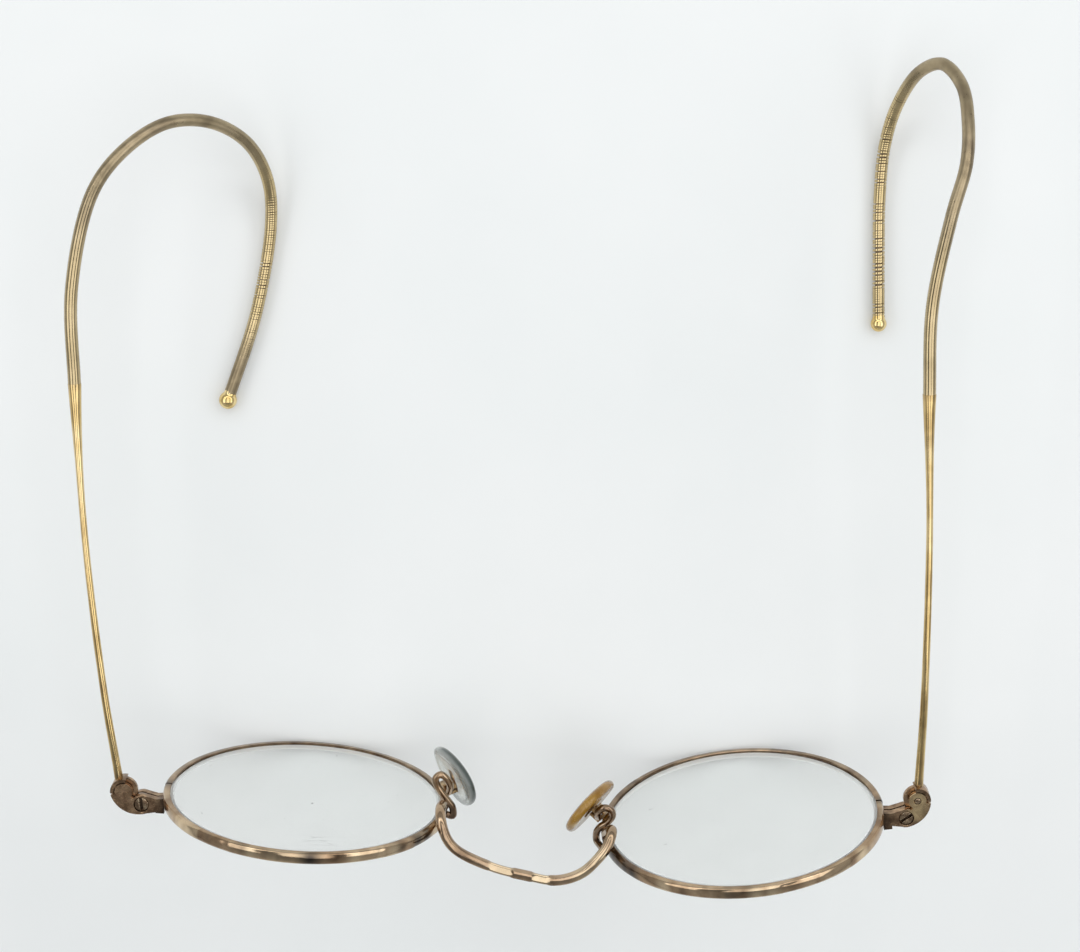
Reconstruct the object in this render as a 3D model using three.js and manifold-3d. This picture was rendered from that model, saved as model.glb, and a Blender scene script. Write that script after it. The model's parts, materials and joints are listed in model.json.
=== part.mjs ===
// Round metal eyeglasses with cable temples: two rims on a bent wire bridge, rocking nose pads on
// wire arms, end pieces that close the rims with a screw, and folding temples that end in wound
// ear hooks. They stand on a table, on the rims and the two ball tips, with the temples open.
// Millimetres, +Z up, +Y towards the wearer, +X towards the wearer's left.
import * as THREE from 'three';
import { mergeVertices } from 'three/addons/utils/BufferGeometryUtils.js';
import Module from 'manifold-3d';

const wasm = await Module();
wasm.setup();

// Lenses and rims
const lensSpacing = 61.7; // between the lens centres
const lensRadius = 18.9; // to the tip of the bevel, half its height
const lensOval = 1.02; // width of an eye over its height
const lensThickness = 1.2;
const lensFaceRadius = 90; // curve of both faces
const lensBevel = 0.6; // radial depth of the bevel
const lensClearance = 0.15; // bevel tip to groove bottom
const grooveDepth = 0.4;
const grooveWidth = 1;
const rimThickness = 1;
const rimWidth = 1.6; // along the lens axis
const rimChamfer = 0.3;
const rimSplit = 0.3; // slot between the rim's two ends

// End pieces, their screws and the hinges
const endpieceHeight = 2.3; // both halves together
const endpieceSplit = 0.3;
const endpieceRadius = 1.45; // round the screw
const frontRadius = 4; // curve of the end piece's front edge
const neckWidth = 2;
const collarWidth = 3; // block on the rim, where the neck starts
const collarLength = 0.95; // beyond the rim's outer edge
const collarForward = 1.9; // collar's middle, ahead of the lens plane
const screwReach = 3; // rim's outer edge to the screw
const screwToPivot = 3.1;
const screwRadius = 0.5;
const screwHeadRadius = 1;
const screwHeadHeight = 0.5;
const screwSlotWidth = 0.3;
const screwSlotDepth = 0.25;
const pinRadius = 0.4;
const pinProud = 0.08; // pin ends beyond the end piece's faces
const leafThickness = 0.6; // middle leaf of the temple joint
const bossRadius = 1.9;
const wallThickness = 0.5; // curved stop wall of the temple joint
const wallStart = -11; // degrees, from outward towards the back
const wallEnd = 98;
const openStop = 5; // degrees that a temple opens past rest
const foldStop = 75; // degrees that a temple folds in
const stopSlack = 3; // degrees left at either stop

// Bridge, nose pads and their arms
const bridgeRadius = 0.7;
const armRadius = 0.5;
const padWidth = 9;
const padHeight = 11.5;
const padThickness = 1.5;
const padRound = 0.5; // rounding of the pad's edges
const padSetback = 0.85; // pad's back face from the rocking pin
const padTilt = 25; // degrees, tops towards the nose
const studThickness = 0.7;
const studHeight = 1.5;
const studReach = 0.45; // past the rocking pin, away from the pad
const boxHeight = 2;
const boxCheek = 0.4;
const boxFront = 0.5; // cheeks past the rocking pin, towards the pad
const boxFloor = 0.4;
const padPinRadius = 0.3;

// Temples
const barLength = 58; // hinge pivot to the start of the cable
const barRootRadius = 0.65;
const barWaistRadius = 0.56;
const barWaist = 0.7; // share of the bar where it is thinnest
const barEndRadius = 0.95;
const coreRadius = 0.36;
const windingRadius = 0.9; // outside of the cable
const windingThickness = 0.3;
const windingWidth = 1;
const windingTurns = 48; // on each cable
const windingSteps = 8; // in each turn

// Clearances
const solderGap = 0.25; // between pieces that are soldered together
const runClearance = 0.15; // between pieces that turn
const holeClearance = 0.1; // round pins and screws

// Facets
const rimSteps = 48;
const roundSides = 12;
const arcSteps = 10; // in each arc of an outline
const padSteps = 24;
const wireSides = 8;
const coreSides = 6;
const tightPace = 1; // length of one step along the bridge and the pad arms
const longPace = 2.4; // along a temple's bar
const cablePace = 1.5; // along its cable

// The two halves were bent by wear and differ a little. Pad pins, the bends of the pad arms and those
// of the bridge beside a rim are [beyond the rim's outer edge, back, up] from the lens centre, and pad
// shifts are how far a pad's middle lies behind its pin.
// Shank bends are [share of the bar, outward, rise] and hook bends are [outward, back, level], from
// the bar's end, with level 1 at the bar's end and 0 at the ball on the table. Brows are bridge bends
// [x, y, z] in the front's own frame.
const sides = [
  {
    name: 'right',
    sign: -1,
    lean: 5.9,
    wrap: 1.9,
    endTurn: 33,
    screwForward: 2.3,
    barTurn: 25,
    padPin: [0, 2.8, -2.2],
    padSplay: 20,
    padShift: 1.2,
    arm: [
      [0.75, -0.6, 0.2], [0.6, 0.8, 0.4], [0, 1.7, 0.6], [-0.9, 2.9, 0.9], [-1.8, 4.3, 1.1], [-2, 5.3, 1.2],
      [-1.4, 5.9, 1.2], [-0.6, 5.4, 1], [0, 4.3, 0.5], [0.1, 3.4, -0.2],
    ],
    slotTurn: 80,
    ballRadius: 1.3,
    bridgeEnd: [[-0.7, 1.75, 2.4], [-0.85, 2.3, 3.6], [-0.95, 2.5, 4.8], [-0.9, 1.9, 6.3], [-0.4, 0.5, 7.5]],
    brow: [[-9.8, -3.4, 27.2]],
    shank: [[0.24, 2.9, 1.2], [0.62, 5.6, 3], [1, 7.2, 4.2]],
    hook: [
      [0.5, 13, 1.02], [-1.7, 25.7, 0.93], [-5.4, 31.5, 0.8], [-10.5, 35.2, 0.63], [-15.9, 35.4, 0.44],
      [-20.5, 32.6, 0.25], [-23, 27.6, 0.1], [-23.5, 21.3, 0.02], [-21.7, 8.2, 0], [-18, -4.6, 0],
    ],
  },
  {
    name: 'left',
    sign: 1,
    lean: 11.8,
    wrap: 9.1,
    endTurn: 56,
    screwForward: 1.9,
    barTurn: 5,
    padPin: [0.2, 2.6, -2.2],
    padSplay: 43,
    padShift: -0.2,
    arm: [
      [0.75, -0.7, 0.2], [0.6, 0.7, 0.4], [0, 1.6, 0.6], [-1.1, 2.4, 0.9], [-1.9, 3.5, 1.1], [-1.7, 4.5, 1.2],
      [-0.9, 4.9, 1.2], [-0.1, 4.3, 0.8], [0.2, 3.3, 0],
    ],
    slotTurn: 30,
    ballRadius: 1.15,
    bridgeEnd: [
      [-0.9, 1.6, 2.4], [-1.3, 2.5, 3.5], [-1.6, 3.4, 4.7], [-1.6, 3.6, 5.8], [-1.1, 2.6, 6.7],
      [-0.25, 1.4, 7.2],
    ],
    brow: [[10.4, -3.7, 27.2], [8.7, -5.6, 27.4]],
    shank: [[0.25, -0.2, 1.3], [0.65, -1.6, 3.3], [1, -3.4, 4.6]],
    hook: [
      [-0.6, 12, 1.02], [1.1, 24, 1], [2.8, 31, 0.93], [3.1, 36.6, 0.8], [2.5, 41.3, 0.64],
      [0.3, 44, 0.47], [-2.2, 42.7, 0.3], [-4.3, 38, 0.13], [-5.3, 32.3, 0.03], [-5.4, 25, 0],
      [-4.9, 16.4, 0], [-4.2, 6.8, 0],
    ],
  },
];
// Crest of the bridge, between the brows
const crest = [[-4, -5.8, 28], [0.6, -6.6, 28.4], [4.8, -7.3, 28]];

// Sizes worked out from these
const grooveRadius = lensRadius + lensClearance;
const rimInner = grooveRadius - grooveDepth;
const rimOuter = rimInner + rimThickness;
const rimReach = rimOuter * lensOval;
const screwU = rimReach + screwReach;
const tongueRadius = bossRadius - wallThickness - runClearance;
const leafRoom = leafThickness / 2 + runClearance;

const finish = {
  rim: [0x9a7350, 0.3, 1],
  lens: [0xe9f0ee, 0.03, 0],
  bridge: [0xb08a5c, 0.25, 1],
  endpiece: [0x6e5a46, 0.45, 1],
  screw: [0x8a7a62, 0.4, 1],
  bar: [0xb8924f, 0.22, 1],
  cable: [0x8f7a4c, 0.4, 1],
  ball: [0xc09a4e, 0.15, 1],
  mount: [0x5a4330, 0.5, 1],
  rightPad: [0x8f9a94, 0.08, 0],
  leftPad: [0xb98a35, 0.25, 0],
};

const radians = THREE.MathUtils.degToRad;

// Solids and their booleans
function positionsOnly(geometry) {
  const bare = new THREE.BufferGeometry();
  bare.setAttribute('position', geometry.getAttribute('position').clone());
  if (geometry.index) bare.setIndex(geometry.index.clone());
  return mergeVertices(bare, 1e-5);
}

function toSolid(geometry) {
  const bare = positionsOnly(geometry);
  const vertProperties = new Float32Array(bare.getAttribute('position').array);
  const triVerts = new Uint32Array(bare.index.array);
  return new wasm.Manifold(new wasm.Mesh({ numProp: 3, vertProperties, triVerts }));
}

function toGeometry(solid) {
  const mesh = solid.getMesh();
  const geometry = new THREE.BufferGeometry();
  geometry.setAttribute('position', new THREE.BufferAttribute(new Float32Array(mesh.vertProperties), 3));
  geometry.setIndex(new THREE.BufferAttribute(new Uint32Array(mesh.triVerts), 1));
  return geometry;
}

function join(...geometries) {
  return toGeometry(geometries.map(toSolid).reduce((whole, next) => whole.add(next)));
}

function cut(geometry, ...tools) {
  return toGeometry(tools.map(toSolid).reduce((whole, tool) => whole.subtract(tool), toSolid(geometry)));
}

function reversed(geometry) {
  const index = geometry.index.array;
  for (let i = 0; i < index.length; i += 3) {
    const first = index[i];
    index[i] = index[i + 1];
    index[i + 1] = first;
  }
  return geometry;
}

function mirrored(geometry) {
  return reversed(positionsOnly(geometry).scale(-1, 1, 1));
}

// Round bar along Z between two heights, at a place in the XY plane
function drum(radius, low, high, x = 0, y = 0, sides = roundSides) {
  const bar = new THREE.CylinderGeometry(radius, radius, high - low, sides);
  return bar.rotateX(Math.PI / 2).translate(x, y, (low + high) / 2);
}

function block(width, depth, height, x = 0, y = 0, z = 0) {
  return new THREE.BoxGeometry(width, depth, height).translate(x, y, z);
}

function slab(shape, low, high) {
  const settings = { depth: high - low, bevelEnabled: false, curveSegments: arcSteps };
  return new THREE.ExtrudeGeometry(shape, settings).translate(0, 0, low);
}

// Front half of two discs held by one wide arc, closed along the line of their centres
function frontBand(x0, y0, r0, x1, y1, r1, wide) {
  const gap = Math.hypot(x1 - x0, y1 - y0);
  const along = Math.atan2(y1 - y0, x1 - x0);
  const ahead = ((wide - r0) ** 2 - (wide - r1) ** 2 + gap ** 2) / (2 * gap);
  const behind = Math.sqrt((wide - r0) ** 2 - ahead ** 2);
  const x = x0 + ahead * Math.cos(along) - behind * Math.sin(along);
  const y = y0 + ahead * Math.sin(along) + behind * Math.cos(along);
  const start = Math.atan2(y0 - y, x0 - x) + 2 * Math.PI;
  const end = Math.atan2(y1 - y, x1 - x) + 2 * Math.PI;
  const shape = new THREE.Shape();
  shape.absarc(x0, y0, r0, along + Math.PI, start, false);
  shape.absarc(x, y, wide, start, end, false);
  shape.absarc(x1, y1, r1, end, along + 2 * Math.PI, false);
  return shape;
}

function sector(x, y, inner, outer, from, to) {
  const shape = new THREE.Shape();
  shape.absarc(x, y, outer, radians(from), radians(to), false);
  shape.absarc(x, y, inner, radians(to), radians(from), true);
  return shape;
}

// Closed solid through rings of equal count, with flat ends
function ringSolid(rings) {
  const count = rings[0].length;
  const points = rings.flat();
  const faces = [];
  for (let r = 0; r + 1 < rings.length; r += 1) {
    for (let k = 0; k < count; k += 1) {
      const a = r * count + k;
      const b = r * count + ((k + 1) % count);
      faces.push(a, b, b + count, a, b + count, a + count);
    }
  }
  const last = (rings.length - 1) * count;
  for (let k = 1; k + 1 < count; k += 1) {
    faces.push(0, k + 1, k, last, last + k, last + k + 1);
  }
  const geometry = new THREE.BufferGeometry().setFromPoints(points);
  geometry.setIndex(faces);
  return geometry;
}

// Points and carried-along frames on a stretch of a curve, between two lengths from its start
function stations(curve, from, to, steps) {
  const length = curve.getLength();
  const list = [];
  let side = new THREE.Vector3(0, 0, 1);
  for (let i = 0; i <= steps; i += 1) {
    const share = (from + ((to - from) * i) / steps) / length;
    const tangent = curve.getTangentAt(share);
    side = side.clone().addScaledVector(tangent, -side.dot(tangent)).normalize();
    const point = curve.getPointAt(share);
    list.push({ point, tangent, side, across: tangent.clone().cross(side) });
  }
  return list;
}

function ringAt(station, radius, sides) {
  return Array.from({ length: sides }, (_, k) => {
    const turn = (2 * Math.PI * k) / sides;
    return station.point.clone()
      .addScaledVector(station.side, radius * Math.cos(turn))
      .addScaledVector(station.across, radius * Math.sin(turn));
  });
}

// Wire along a stretch of a curve, whose radius is a function of the share of the way along it
function wire(curve, from, to, radiusAt, pace, sides) {
  const steps = Math.ceil((to - from) / pace);
  const list = stations(curve, from, to, steps);
  return ringSolid(list.map((station, i) => ringAt(station, radiusAt(i / steps), sides)));
}

// Wire of one radius along a whole curve
function evenWire(curve, radius) {
  return wire(curve, 0, curve.getLength(), () => radius, tightPace, wireSides);
}

function smoothCurve(points) {
  const curve = new THREE.CatmullRomCurve3(points, false, 'centripetal');
  curve.arcLengthDivisions = 40 * points.length;
  return curve;
}

// Lens: a meniscus of even thickness, curved to the front, with a bevel that sits in the groove
function lensGeometry() {
  const faceEdge = lensRadius - lensBevel;
  const drop = (radius) => lensFaceRadius - Math.sqrt(lensFaceRadius ** 2 - radius ** 2);
  const faceRadii = [0, 0.5, 0.82, 1].map((share) => share * faceEdge);
  const front = faceRadii.map((r) => new THREE.Vector2(r, drop(r) - drop(faceEdge) - lensThickness / 2));
  const back = faceRadii.map((r) => new THREE.Vector2(r, drop(r) - drop(faceEdge) + lensThickness / 2));
  const profile = [...front, new THREE.Vector2(lensRadius, 0), ...back.reverse()];
  return new THREE.LatheGeometry(profile, rimSteps);
}

// Rim: a ring of flat wire with a groove inside, split where the end piece closes it
function rimGeometry() {
  const half = rimWidth / 2;
  const profile = [
    [rimInner, -half], [rimOuter - rimChamfer, -half], [rimOuter, rimChamfer - half],
    [rimOuter, half - rimChamfer], [rimOuter - rimChamfer, half], [rimInner, half],
    [rimInner, grooveWidth / 2], [grooveRadius, 0], [rimInner, -grooveWidth / 2], [rimInner, -half],
  ].map(([radius, axial]) => new THREE.Vector2(radius, axial));
  const ring = new THREE.LatheGeometry(profile, rimSteps);
  const slot = block(3 * rimThickness, 2 * rimWidth, rimSplit, rimOuter, 0, 0);
  return cut(ring, slot);
}

// One half of an end piece, above (+1) or below (-1) the split: a neck from the rim, a body round
// the screw, and a tongue round the hinge pin, cut away where the temple's joint turns
function endpieceGeometry(screwY, pivot, level) {
  const low = endpieceSplit / 2;
  const high = endpieceHeight / 2;
  const sweep = bossRadius + runClearance;
  const body = drum(endpieceRadius, low, high, screwU, screwY);
  const band = frontBand(screwU, screwY, endpieceRadius, pivot.x, pivot.y, bossRadius, frontRadius);
  const shoulder = slab(band, low, high);
  const tongue = drum(tongueRadius, low, high, pivot.x, pivot.y);
  const collarEnd = rimReach + collarLength;
  const neckShape = new THREE.Shape([
    new THREE.Vector2(rimInner, -collarForward - collarWidth / 2),
    new THREE.Vector2(collarEnd, -collarForward - collarWidth / 2),
    new THREE.Vector2(collarEnd, screwY - neckWidth / 2),
    new THREE.Vector2(screwU, screwY - neckWidth / 2),
    new THREE.Vector2(screwU, screwY + neckWidth / 2),
    new THREE.Vector2(collarEnd, screwY + neckWidth / 2),
    new THREE.Vector2(collarEnd, collarWidth / 2 - collarForward),
    new THREE.Vector2(rimInner, collarWidth / 2 - collarForward),
  ]);
  const neck = slab(neckShape, low, high);
  const turned = sector(pivot.x, pivot.y, tongueRadius, sweep,
    wallStart - openStop - stopSlack, wallEnd + foldStop + stopSlack);
  const roomRadius = rimOuter + solderGap;
  const roomDepth = 4 * (collarWidth - screwY);
  const rimRoom = new THREE.CylinderGeometry(roomRadius, roomRadius, roomDepth, rimSteps);
  rimRoom.scale(lensOval, 1, 1);
  const half = cut(
    join(body, shoulder, tongue, neck),
    slab(turned, -high, 2 * high),
    drum(sweep, -high, leafRoom, pivot.x, pivot.y),
    drum(pinRadius + holeClearance, -high, 2 * high, pivot.x, pivot.y),
    drum(screwRadius + holeClearance, -high, 2 * high, screwU, screwY),
    rimRoom,
  );
  if (level < 0) return reversed(positionsOnly(half).scale(1, 1, -1));
  const seat = high - screwHeadHeight - holeClearance;
  return cut(half, drum(screwHeadRadius + holeClearance, seat, 2 * high, screwU, screwY));
}

// Screw that draws the two halves together, slotted, its head sunk level with the upper half
function screwGeometry(slotTurn) {
  const high = endpieceHeight / 2;
  const head = drum(screwHeadRadius, high - screwHeadHeight, high);
  const shank = drum(screwRadius, -high, high - screwHeadHeight / 2);
  const slot = block(4 * screwHeadRadius, screwSlotWidth, 2 * screwSlotDepth).rotateZ(radians(slotTurn));
  return cut(join(head, shank), slot.translate(0, 0, high));
}

// Joint on the end of a temple: a leaf between the tongues and a curved wall that stops the swing
function templeJointGeometry() {
  const high = endpieceHeight / 2;
  const leaf = drum(bossRadius, -leafThickness / 2, leafThickness / 2);
  const wall = slab(sector(0, 0, bossRadius - wallThickness, bossRadius, wallStart, wallEnd), -high, high);
  return cut(join(leaf, wall), drum(pinRadius + holeClearance, -high, high));
}

// Nose pad, in its own frame: +X back along the pad, +Y towards the nose, +Z up
function padGeometry(shift) {
  const ring = (inset, forward) => Array.from({ length: padSteps }, (_, k) => {
    const turn = (2 * Math.PI * k) / padSteps;
    return new THREE.Vector3(shift + (padWidth / 2 - inset) * Math.cos(turn), padSetback + forward,
      (padHeight / 2 - inset) * Math.sin(turn));
  });
  const rings = [
    ring(2 * padRound, 0), ring(padRound / 3, padRound), ring(0, padThickness / 2),
    ring(padRound / 3, padThickness - padRound), ring(padRound, padThickness),
  ];
  return reversed(ringSolid(rings));
}

// Stud behind the pad, which rocks on the pad pin between the cheeks of the pad box
function studGeometry() {
  const depth = padSetback - solderGap + studReach;
  const tab = block(studThickness, depth, studHeight, 0, depth / 2 - studReach, 0);
  return cut(tab, drum(padPinRadius + holeClearance, -padWidth, padWidth).rotateY(Math.PI / 2));
}

function padBoxGeometry() {
  const room = studThickness + 2 * runClearance;
  const width = room + 2 * boxCheek;
  const back = studReach + studHeight / 4;
  const depth = boxFront + back + boxFloor;
  const whole = block(width, depth, boxHeight, 0, boxFront - depth / 2, 0);
  const slot = block(room, boxFront + back, 2 * boxHeight, 0, (boxFront - back) / 2, 0);
  const mouth = block(room, boxFront, 2 * boxHeight, 0, boxFront, 0);
  const bore = drum(padPinRadius + holeClearance, -width, width).rotateY(Math.PI / 2);
  return cut(whole, slot, mouth, bore);
}

function padPinGeometry() {
  const half = studThickness / 2 + runClearance + boxCheek;
  return drum(padPinRadius, -half, half).rotateY(Math.PI / 2);
}

// Flat ribbon wound round the cable's core in one unbroken helix
function windingGeometry(curve, from, to) {
  const steps = windingTurns * windingSteps;
  const list = stations(curve, from, to, steps);
  const inner = windingRadius - windingThickness;
  const rings = list.map((station, i) => {
    const turn = (2 * Math.PI * i) / windingSteps;
    const out = station.side.clone().multiplyScalar(Math.cos(turn))
      .addScaledVector(station.across, Math.sin(turn));
    const corner = (radius, along) => station.point.clone()
      .addScaledVector(out, radius)
      .addScaledVector(station.tangent, along);
    const reach = windingWidth / 2;
    const ahead = [corner(inner, reach), corner(windingRadius, reach)];
    return [...ahead, corner(windingRadius, -reach), corner(inner, -reach)];
  });
  return { geometry: ringSolid(rings), gap: leastGap(rings) };
}

// Least distance between corners of the ribbon that lie at least half a turn apart along it
function leastGap(rings) {
  let least = Infinity;
  rings.forEach((ring, i) => {
    const later = rings.slice(i + windingSteps / 2, i + 2 * windingSteps).flat();
    ring.forEach((a) => later.forEach((b) => {
      least = Math.min(least, a.distanceTo(b));
    }));
  });
  return least;
}

// Assembly
const glasses = new THREE.Group();

function addPiece(group, sign, name, geometry, [color, roughness, metalness]) {
  const shape = sign < 0 ? mirrored(geometry) : positionsOnly(geometry);
  const material = new THREE.MeshStandardMaterial({ color, roughness, metalness });
  const mesh = new THREE.Mesh(shape, material);
  mesh.name = name;
  group.add(mesh);
  return mesh;
}

const bridgePoints = {};

for (const side of sides) {
  const { sign, name } = side;
  const lean = radians(side.lean);
  const turn = radians(side.endTurn);
  const screwY = -side.screwForward;
  const pivot = new THREE.Vector2(screwU + screwToPivot * Math.cos(turn),
    screwY + screwToPivot * Math.sin(turn));

  // Half of the front, in the lens's own frame: +X outward, +Y back, +Z up along the lens
  const half = new THREE.Group();
  const height = rimOuter * Math.cos(lean) + (rimWidth / 2) * Math.sin(lean);
  half.position.set((sign * lensSpacing) / 2, 0, height);
  half.rotation.set(lean, 0, sign * radians(side.wrap), 'ZXY');
  glasses.add(half);
  addPiece(half, sign, `${name}_rim`, rimGeometry().scale(lensOval, 1, 1), finish.rim);
  addPiece(half, sign, `${name}_lens`, lensGeometry().scale(lensOval, 1, 1), finish.lens);
  addPiece(half, sign, `${name}_endpiece_upper`, endpieceGeometry(screwY, pivot, 1), finish.endpiece);
  addPiece(half, sign, `${name}_endpiece_lower`, endpieceGeometry(screwY, pivot, -1), finish.endpiece);
  const screw = addPiece(half, sign, `${name}_rim_screw`, screwGeometry(side.slotTurn), finish.screw);
  screw.position.set(sign * screwU, screwY, 0);
  const pinHalf = endpieceHeight / 2 + pinProud;
  const pin = addPiece(half, sign, `${name}_hinge_pin`, drum(pinRadius, -pinHalf, pinHalf), finish.screw);
  pin.position.set(sign * pivot.x, pivot.y, 0);
  const joint = addPiece(half, sign, `${name}_temple_joint`, templeJointGeometry(), finish.endpiece);
  joint.position.copy(pin.position);

  // Nose pad and its box, in the pad's frame at the rocking pin
  const besideRim = ([beyond, back, up]) => new THREE.Vector3(-(rimReach + beyond), back, up);
  const padPin = besideRim(side.padPin);
  const nose = new THREE.Group();
  nose.position.set(sign * padPin.x, padPin.y, padPin.z);
  nose.rotation.set(-radians(padTilt), 0, sign * radians(90 - side.padSplay), 'ZXY');
  half.add(nose);
  addPiece(nose, sign, `${name}_pad`, padGeometry(side.padShift), finish[`${name}Pad`]);
  addPiece(nose, sign, `${name}_pad_stud`, studGeometry(), finish.mount);
  addPiece(nose, sign, `${name}_pad_box`, padBoxGeometry(), finish.mount);
  addPiece(nose, sign, `${name}_pad_pin`, padPinGeometry(), finish.screw);

  // Pad arm, from the rim's nose side round a loop and down to the top of the pad box
  const boxTop = padPin.clone().setZ(padPin.z + boxHeight / 2 + 2 * solderGap);
  const armCurve = smoothCurve([...side.arm.map(besideRim), boxTop]);
  addPiece(half, sign, `${name}_pad_arm`, evenWire(armCurve, armRadius), finish.bridge);

  // Bends of the bridge beside this rim, in the front's frame
  half.updateMatrixWorld(true);
  bridgePoints[name] = side.bridgeEnd.map(besideRim)
    .map((point) => point.setX(sign * point.x).applyMatrix4(half.matrixWorld));
  bridgePoints[name].push(...side.brow.map((bend) => new THREE.Vector3(...bend)));

  // Temple: a tapered bar, then a cable of a core and its winding, with a ball on the tip
  const hinge = new THREE.Group();
  hinge.position.copy(pin.position).applyMatrix4(half.matrixWorld);
  glasses.add(hinge);
  const barEnd = side.shank.at(-1);
  const ballRise = side.ballRadius - hinge.position.z;
  const shankPoints = side.shank.map(([share, out, rise]) => new THREE.Vector3(out, share * barLength, rise));
  const hookPoints = side.hook.map(([out, back, level]) => new THREE.Vector3(
    barEnd[1] + out, barLength + back, ballRise + level * (barEnd[2] - ballRise)));
  const barTurn = radians(side.barTurn);
  const root = new THREE.Vector3(Math.sin(barTurn), Math.cos(barTurn), 0)
    .multiplyScalar(bossRadius + solderGap);
  const route = smoothCurve([root, ...shankPoints, ...hookPoints]);
  const shank = smoothCurve([root, ...shankPoints]).getLength();
  const ballStart = route.getLength() - side.ballRadius;
  const barRadius = (share) => {
    if (share < barWaist) return THREE.MathUtils.lerp(barRootRadius, barWaistRadius, share / barWaist);
    const swell = (share - barWaist) / (1 - barWaist);
    return THREE.MathUtils.lerp(barWaistRadius, barEndRadius, swell * swell);
  };
  const bar = wire(route, 0, shank, barRadius, longPace, wireSides);
  addPiece(hinge, sign, `${name}_temple_bar`, bar, finish.bar);
  const cableStart = shank + solderGap;
  const cableEnd = ballStart - solderGap;
  const core = wire(route, cableStart, cableEnd, () => coreRadius, cablePace, coreSides);
  addPiece(hinge, sign, `${name}_cable_core`, core, finish.cable);
  const margin = windingWidth / 2;
  const winding = windingGeometry(route, cableStart + margin, cableEnd - margin);
  console.log(`${name} winding: least gap to itself ${winding.gap.toFixed(2)} mm`);
  addPiece(hinge, sign, `${name}_cable_winding`, winding.geometry, finish.cable);
  const ball = addPiece(hinge, sign, `${name}_tip_ball`,
    new THREE.SphereGeometry(side.ballRadius, roundSides, roundSides / 2).rotateX(Math.PI / 2), finish.ball);
  const tip = route.getPointAt(1);
  ball.position.set(sign * tip.x, tip.y, tip.z);
}

// Bridge: one bent wire from rim to rim
const arch = smoothCurve([
  ...bridgePoints.right,
  ...crest.map((bend) => new THREE.Vector3(...bend)),
  ...bridgePoints.left.reverse(),
]);
addPiece(glasses, 1, 'bridge', evenWire(arch, bridgeRadius), finish.bridge);

// Origin at the bottom centre of the whole
glasses.updateMatrixWorld(true);
const extent = new THREE.Box3().setFromObject(glasses, true);
const middle = extent.getCenter(new THREE.Vector3());
glasses.position.set(-middle.x, -middle.y, -extent.min.z);

export default glasses;
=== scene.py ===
# %% [markdown]
# Round metal eyeglasses with cable temples.
# This lesson dresses a packed engineering model of an old pair of wire spectacles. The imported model
# gives every piece its place and its joints, and here each piece gets the finer shape and the finish
# that the eye looks for: drawn wire, sunk screws, wound ear hooks, worn gold and clear glass.
# The model is loaded first and its box is kept, because the dressed pair has to stay inside it.

import bisect
import json
import math

import bmesh
import bpy
from mathutils import Matrix, Vector, noise


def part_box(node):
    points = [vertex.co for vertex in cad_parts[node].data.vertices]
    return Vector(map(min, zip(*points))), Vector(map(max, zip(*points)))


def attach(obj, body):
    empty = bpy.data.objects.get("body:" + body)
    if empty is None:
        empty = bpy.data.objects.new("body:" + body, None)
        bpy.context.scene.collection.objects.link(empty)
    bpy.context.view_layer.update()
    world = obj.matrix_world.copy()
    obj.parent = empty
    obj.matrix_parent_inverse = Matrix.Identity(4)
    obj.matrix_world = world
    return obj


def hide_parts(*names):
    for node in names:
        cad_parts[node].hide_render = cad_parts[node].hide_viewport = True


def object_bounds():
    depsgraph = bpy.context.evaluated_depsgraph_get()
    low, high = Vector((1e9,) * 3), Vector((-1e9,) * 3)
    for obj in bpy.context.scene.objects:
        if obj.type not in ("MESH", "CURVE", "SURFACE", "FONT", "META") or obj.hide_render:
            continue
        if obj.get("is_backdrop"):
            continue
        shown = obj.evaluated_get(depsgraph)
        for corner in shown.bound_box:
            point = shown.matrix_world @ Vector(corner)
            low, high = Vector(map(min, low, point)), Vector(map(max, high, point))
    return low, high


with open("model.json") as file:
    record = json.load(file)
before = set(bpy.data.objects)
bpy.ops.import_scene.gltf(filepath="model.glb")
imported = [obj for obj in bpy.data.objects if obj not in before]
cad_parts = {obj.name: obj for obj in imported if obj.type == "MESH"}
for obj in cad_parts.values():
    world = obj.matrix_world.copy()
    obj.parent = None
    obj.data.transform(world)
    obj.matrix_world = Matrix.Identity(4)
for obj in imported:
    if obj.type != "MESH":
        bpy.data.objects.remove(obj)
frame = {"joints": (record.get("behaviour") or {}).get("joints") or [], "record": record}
cad_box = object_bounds()
MM = 0.001
cad_size = [round(extent / MM, 2) for extent in cad_box[1] - cad_box[0]]
print("packed box in mm:", cad_size)

# %% [markdown]
# The two halves of an old pair are never alike, since each was bent and bent back by wear.
# Everything on one half is placed from its lens: outward to the temple, back to the wearer, and up
# along the lens. The hinge's own axis gives the upward line, so nothing has to be measured twice.
# The numbers are millimetres, and each mesh is brought to metres when it is seated.

# %% Where each half sits
joints = {joint["name"]: joint for joint in frame["joints"]}
mounts = {mount["name"]: mount for mount in frame["record"]["mounts"]}
RIM_OUTER = 19.65
LENS_OVAL = 1.02
RIM_REACH = RIM_OUTER * LENS_OVAL
SCREW_REACH = 3


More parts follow.
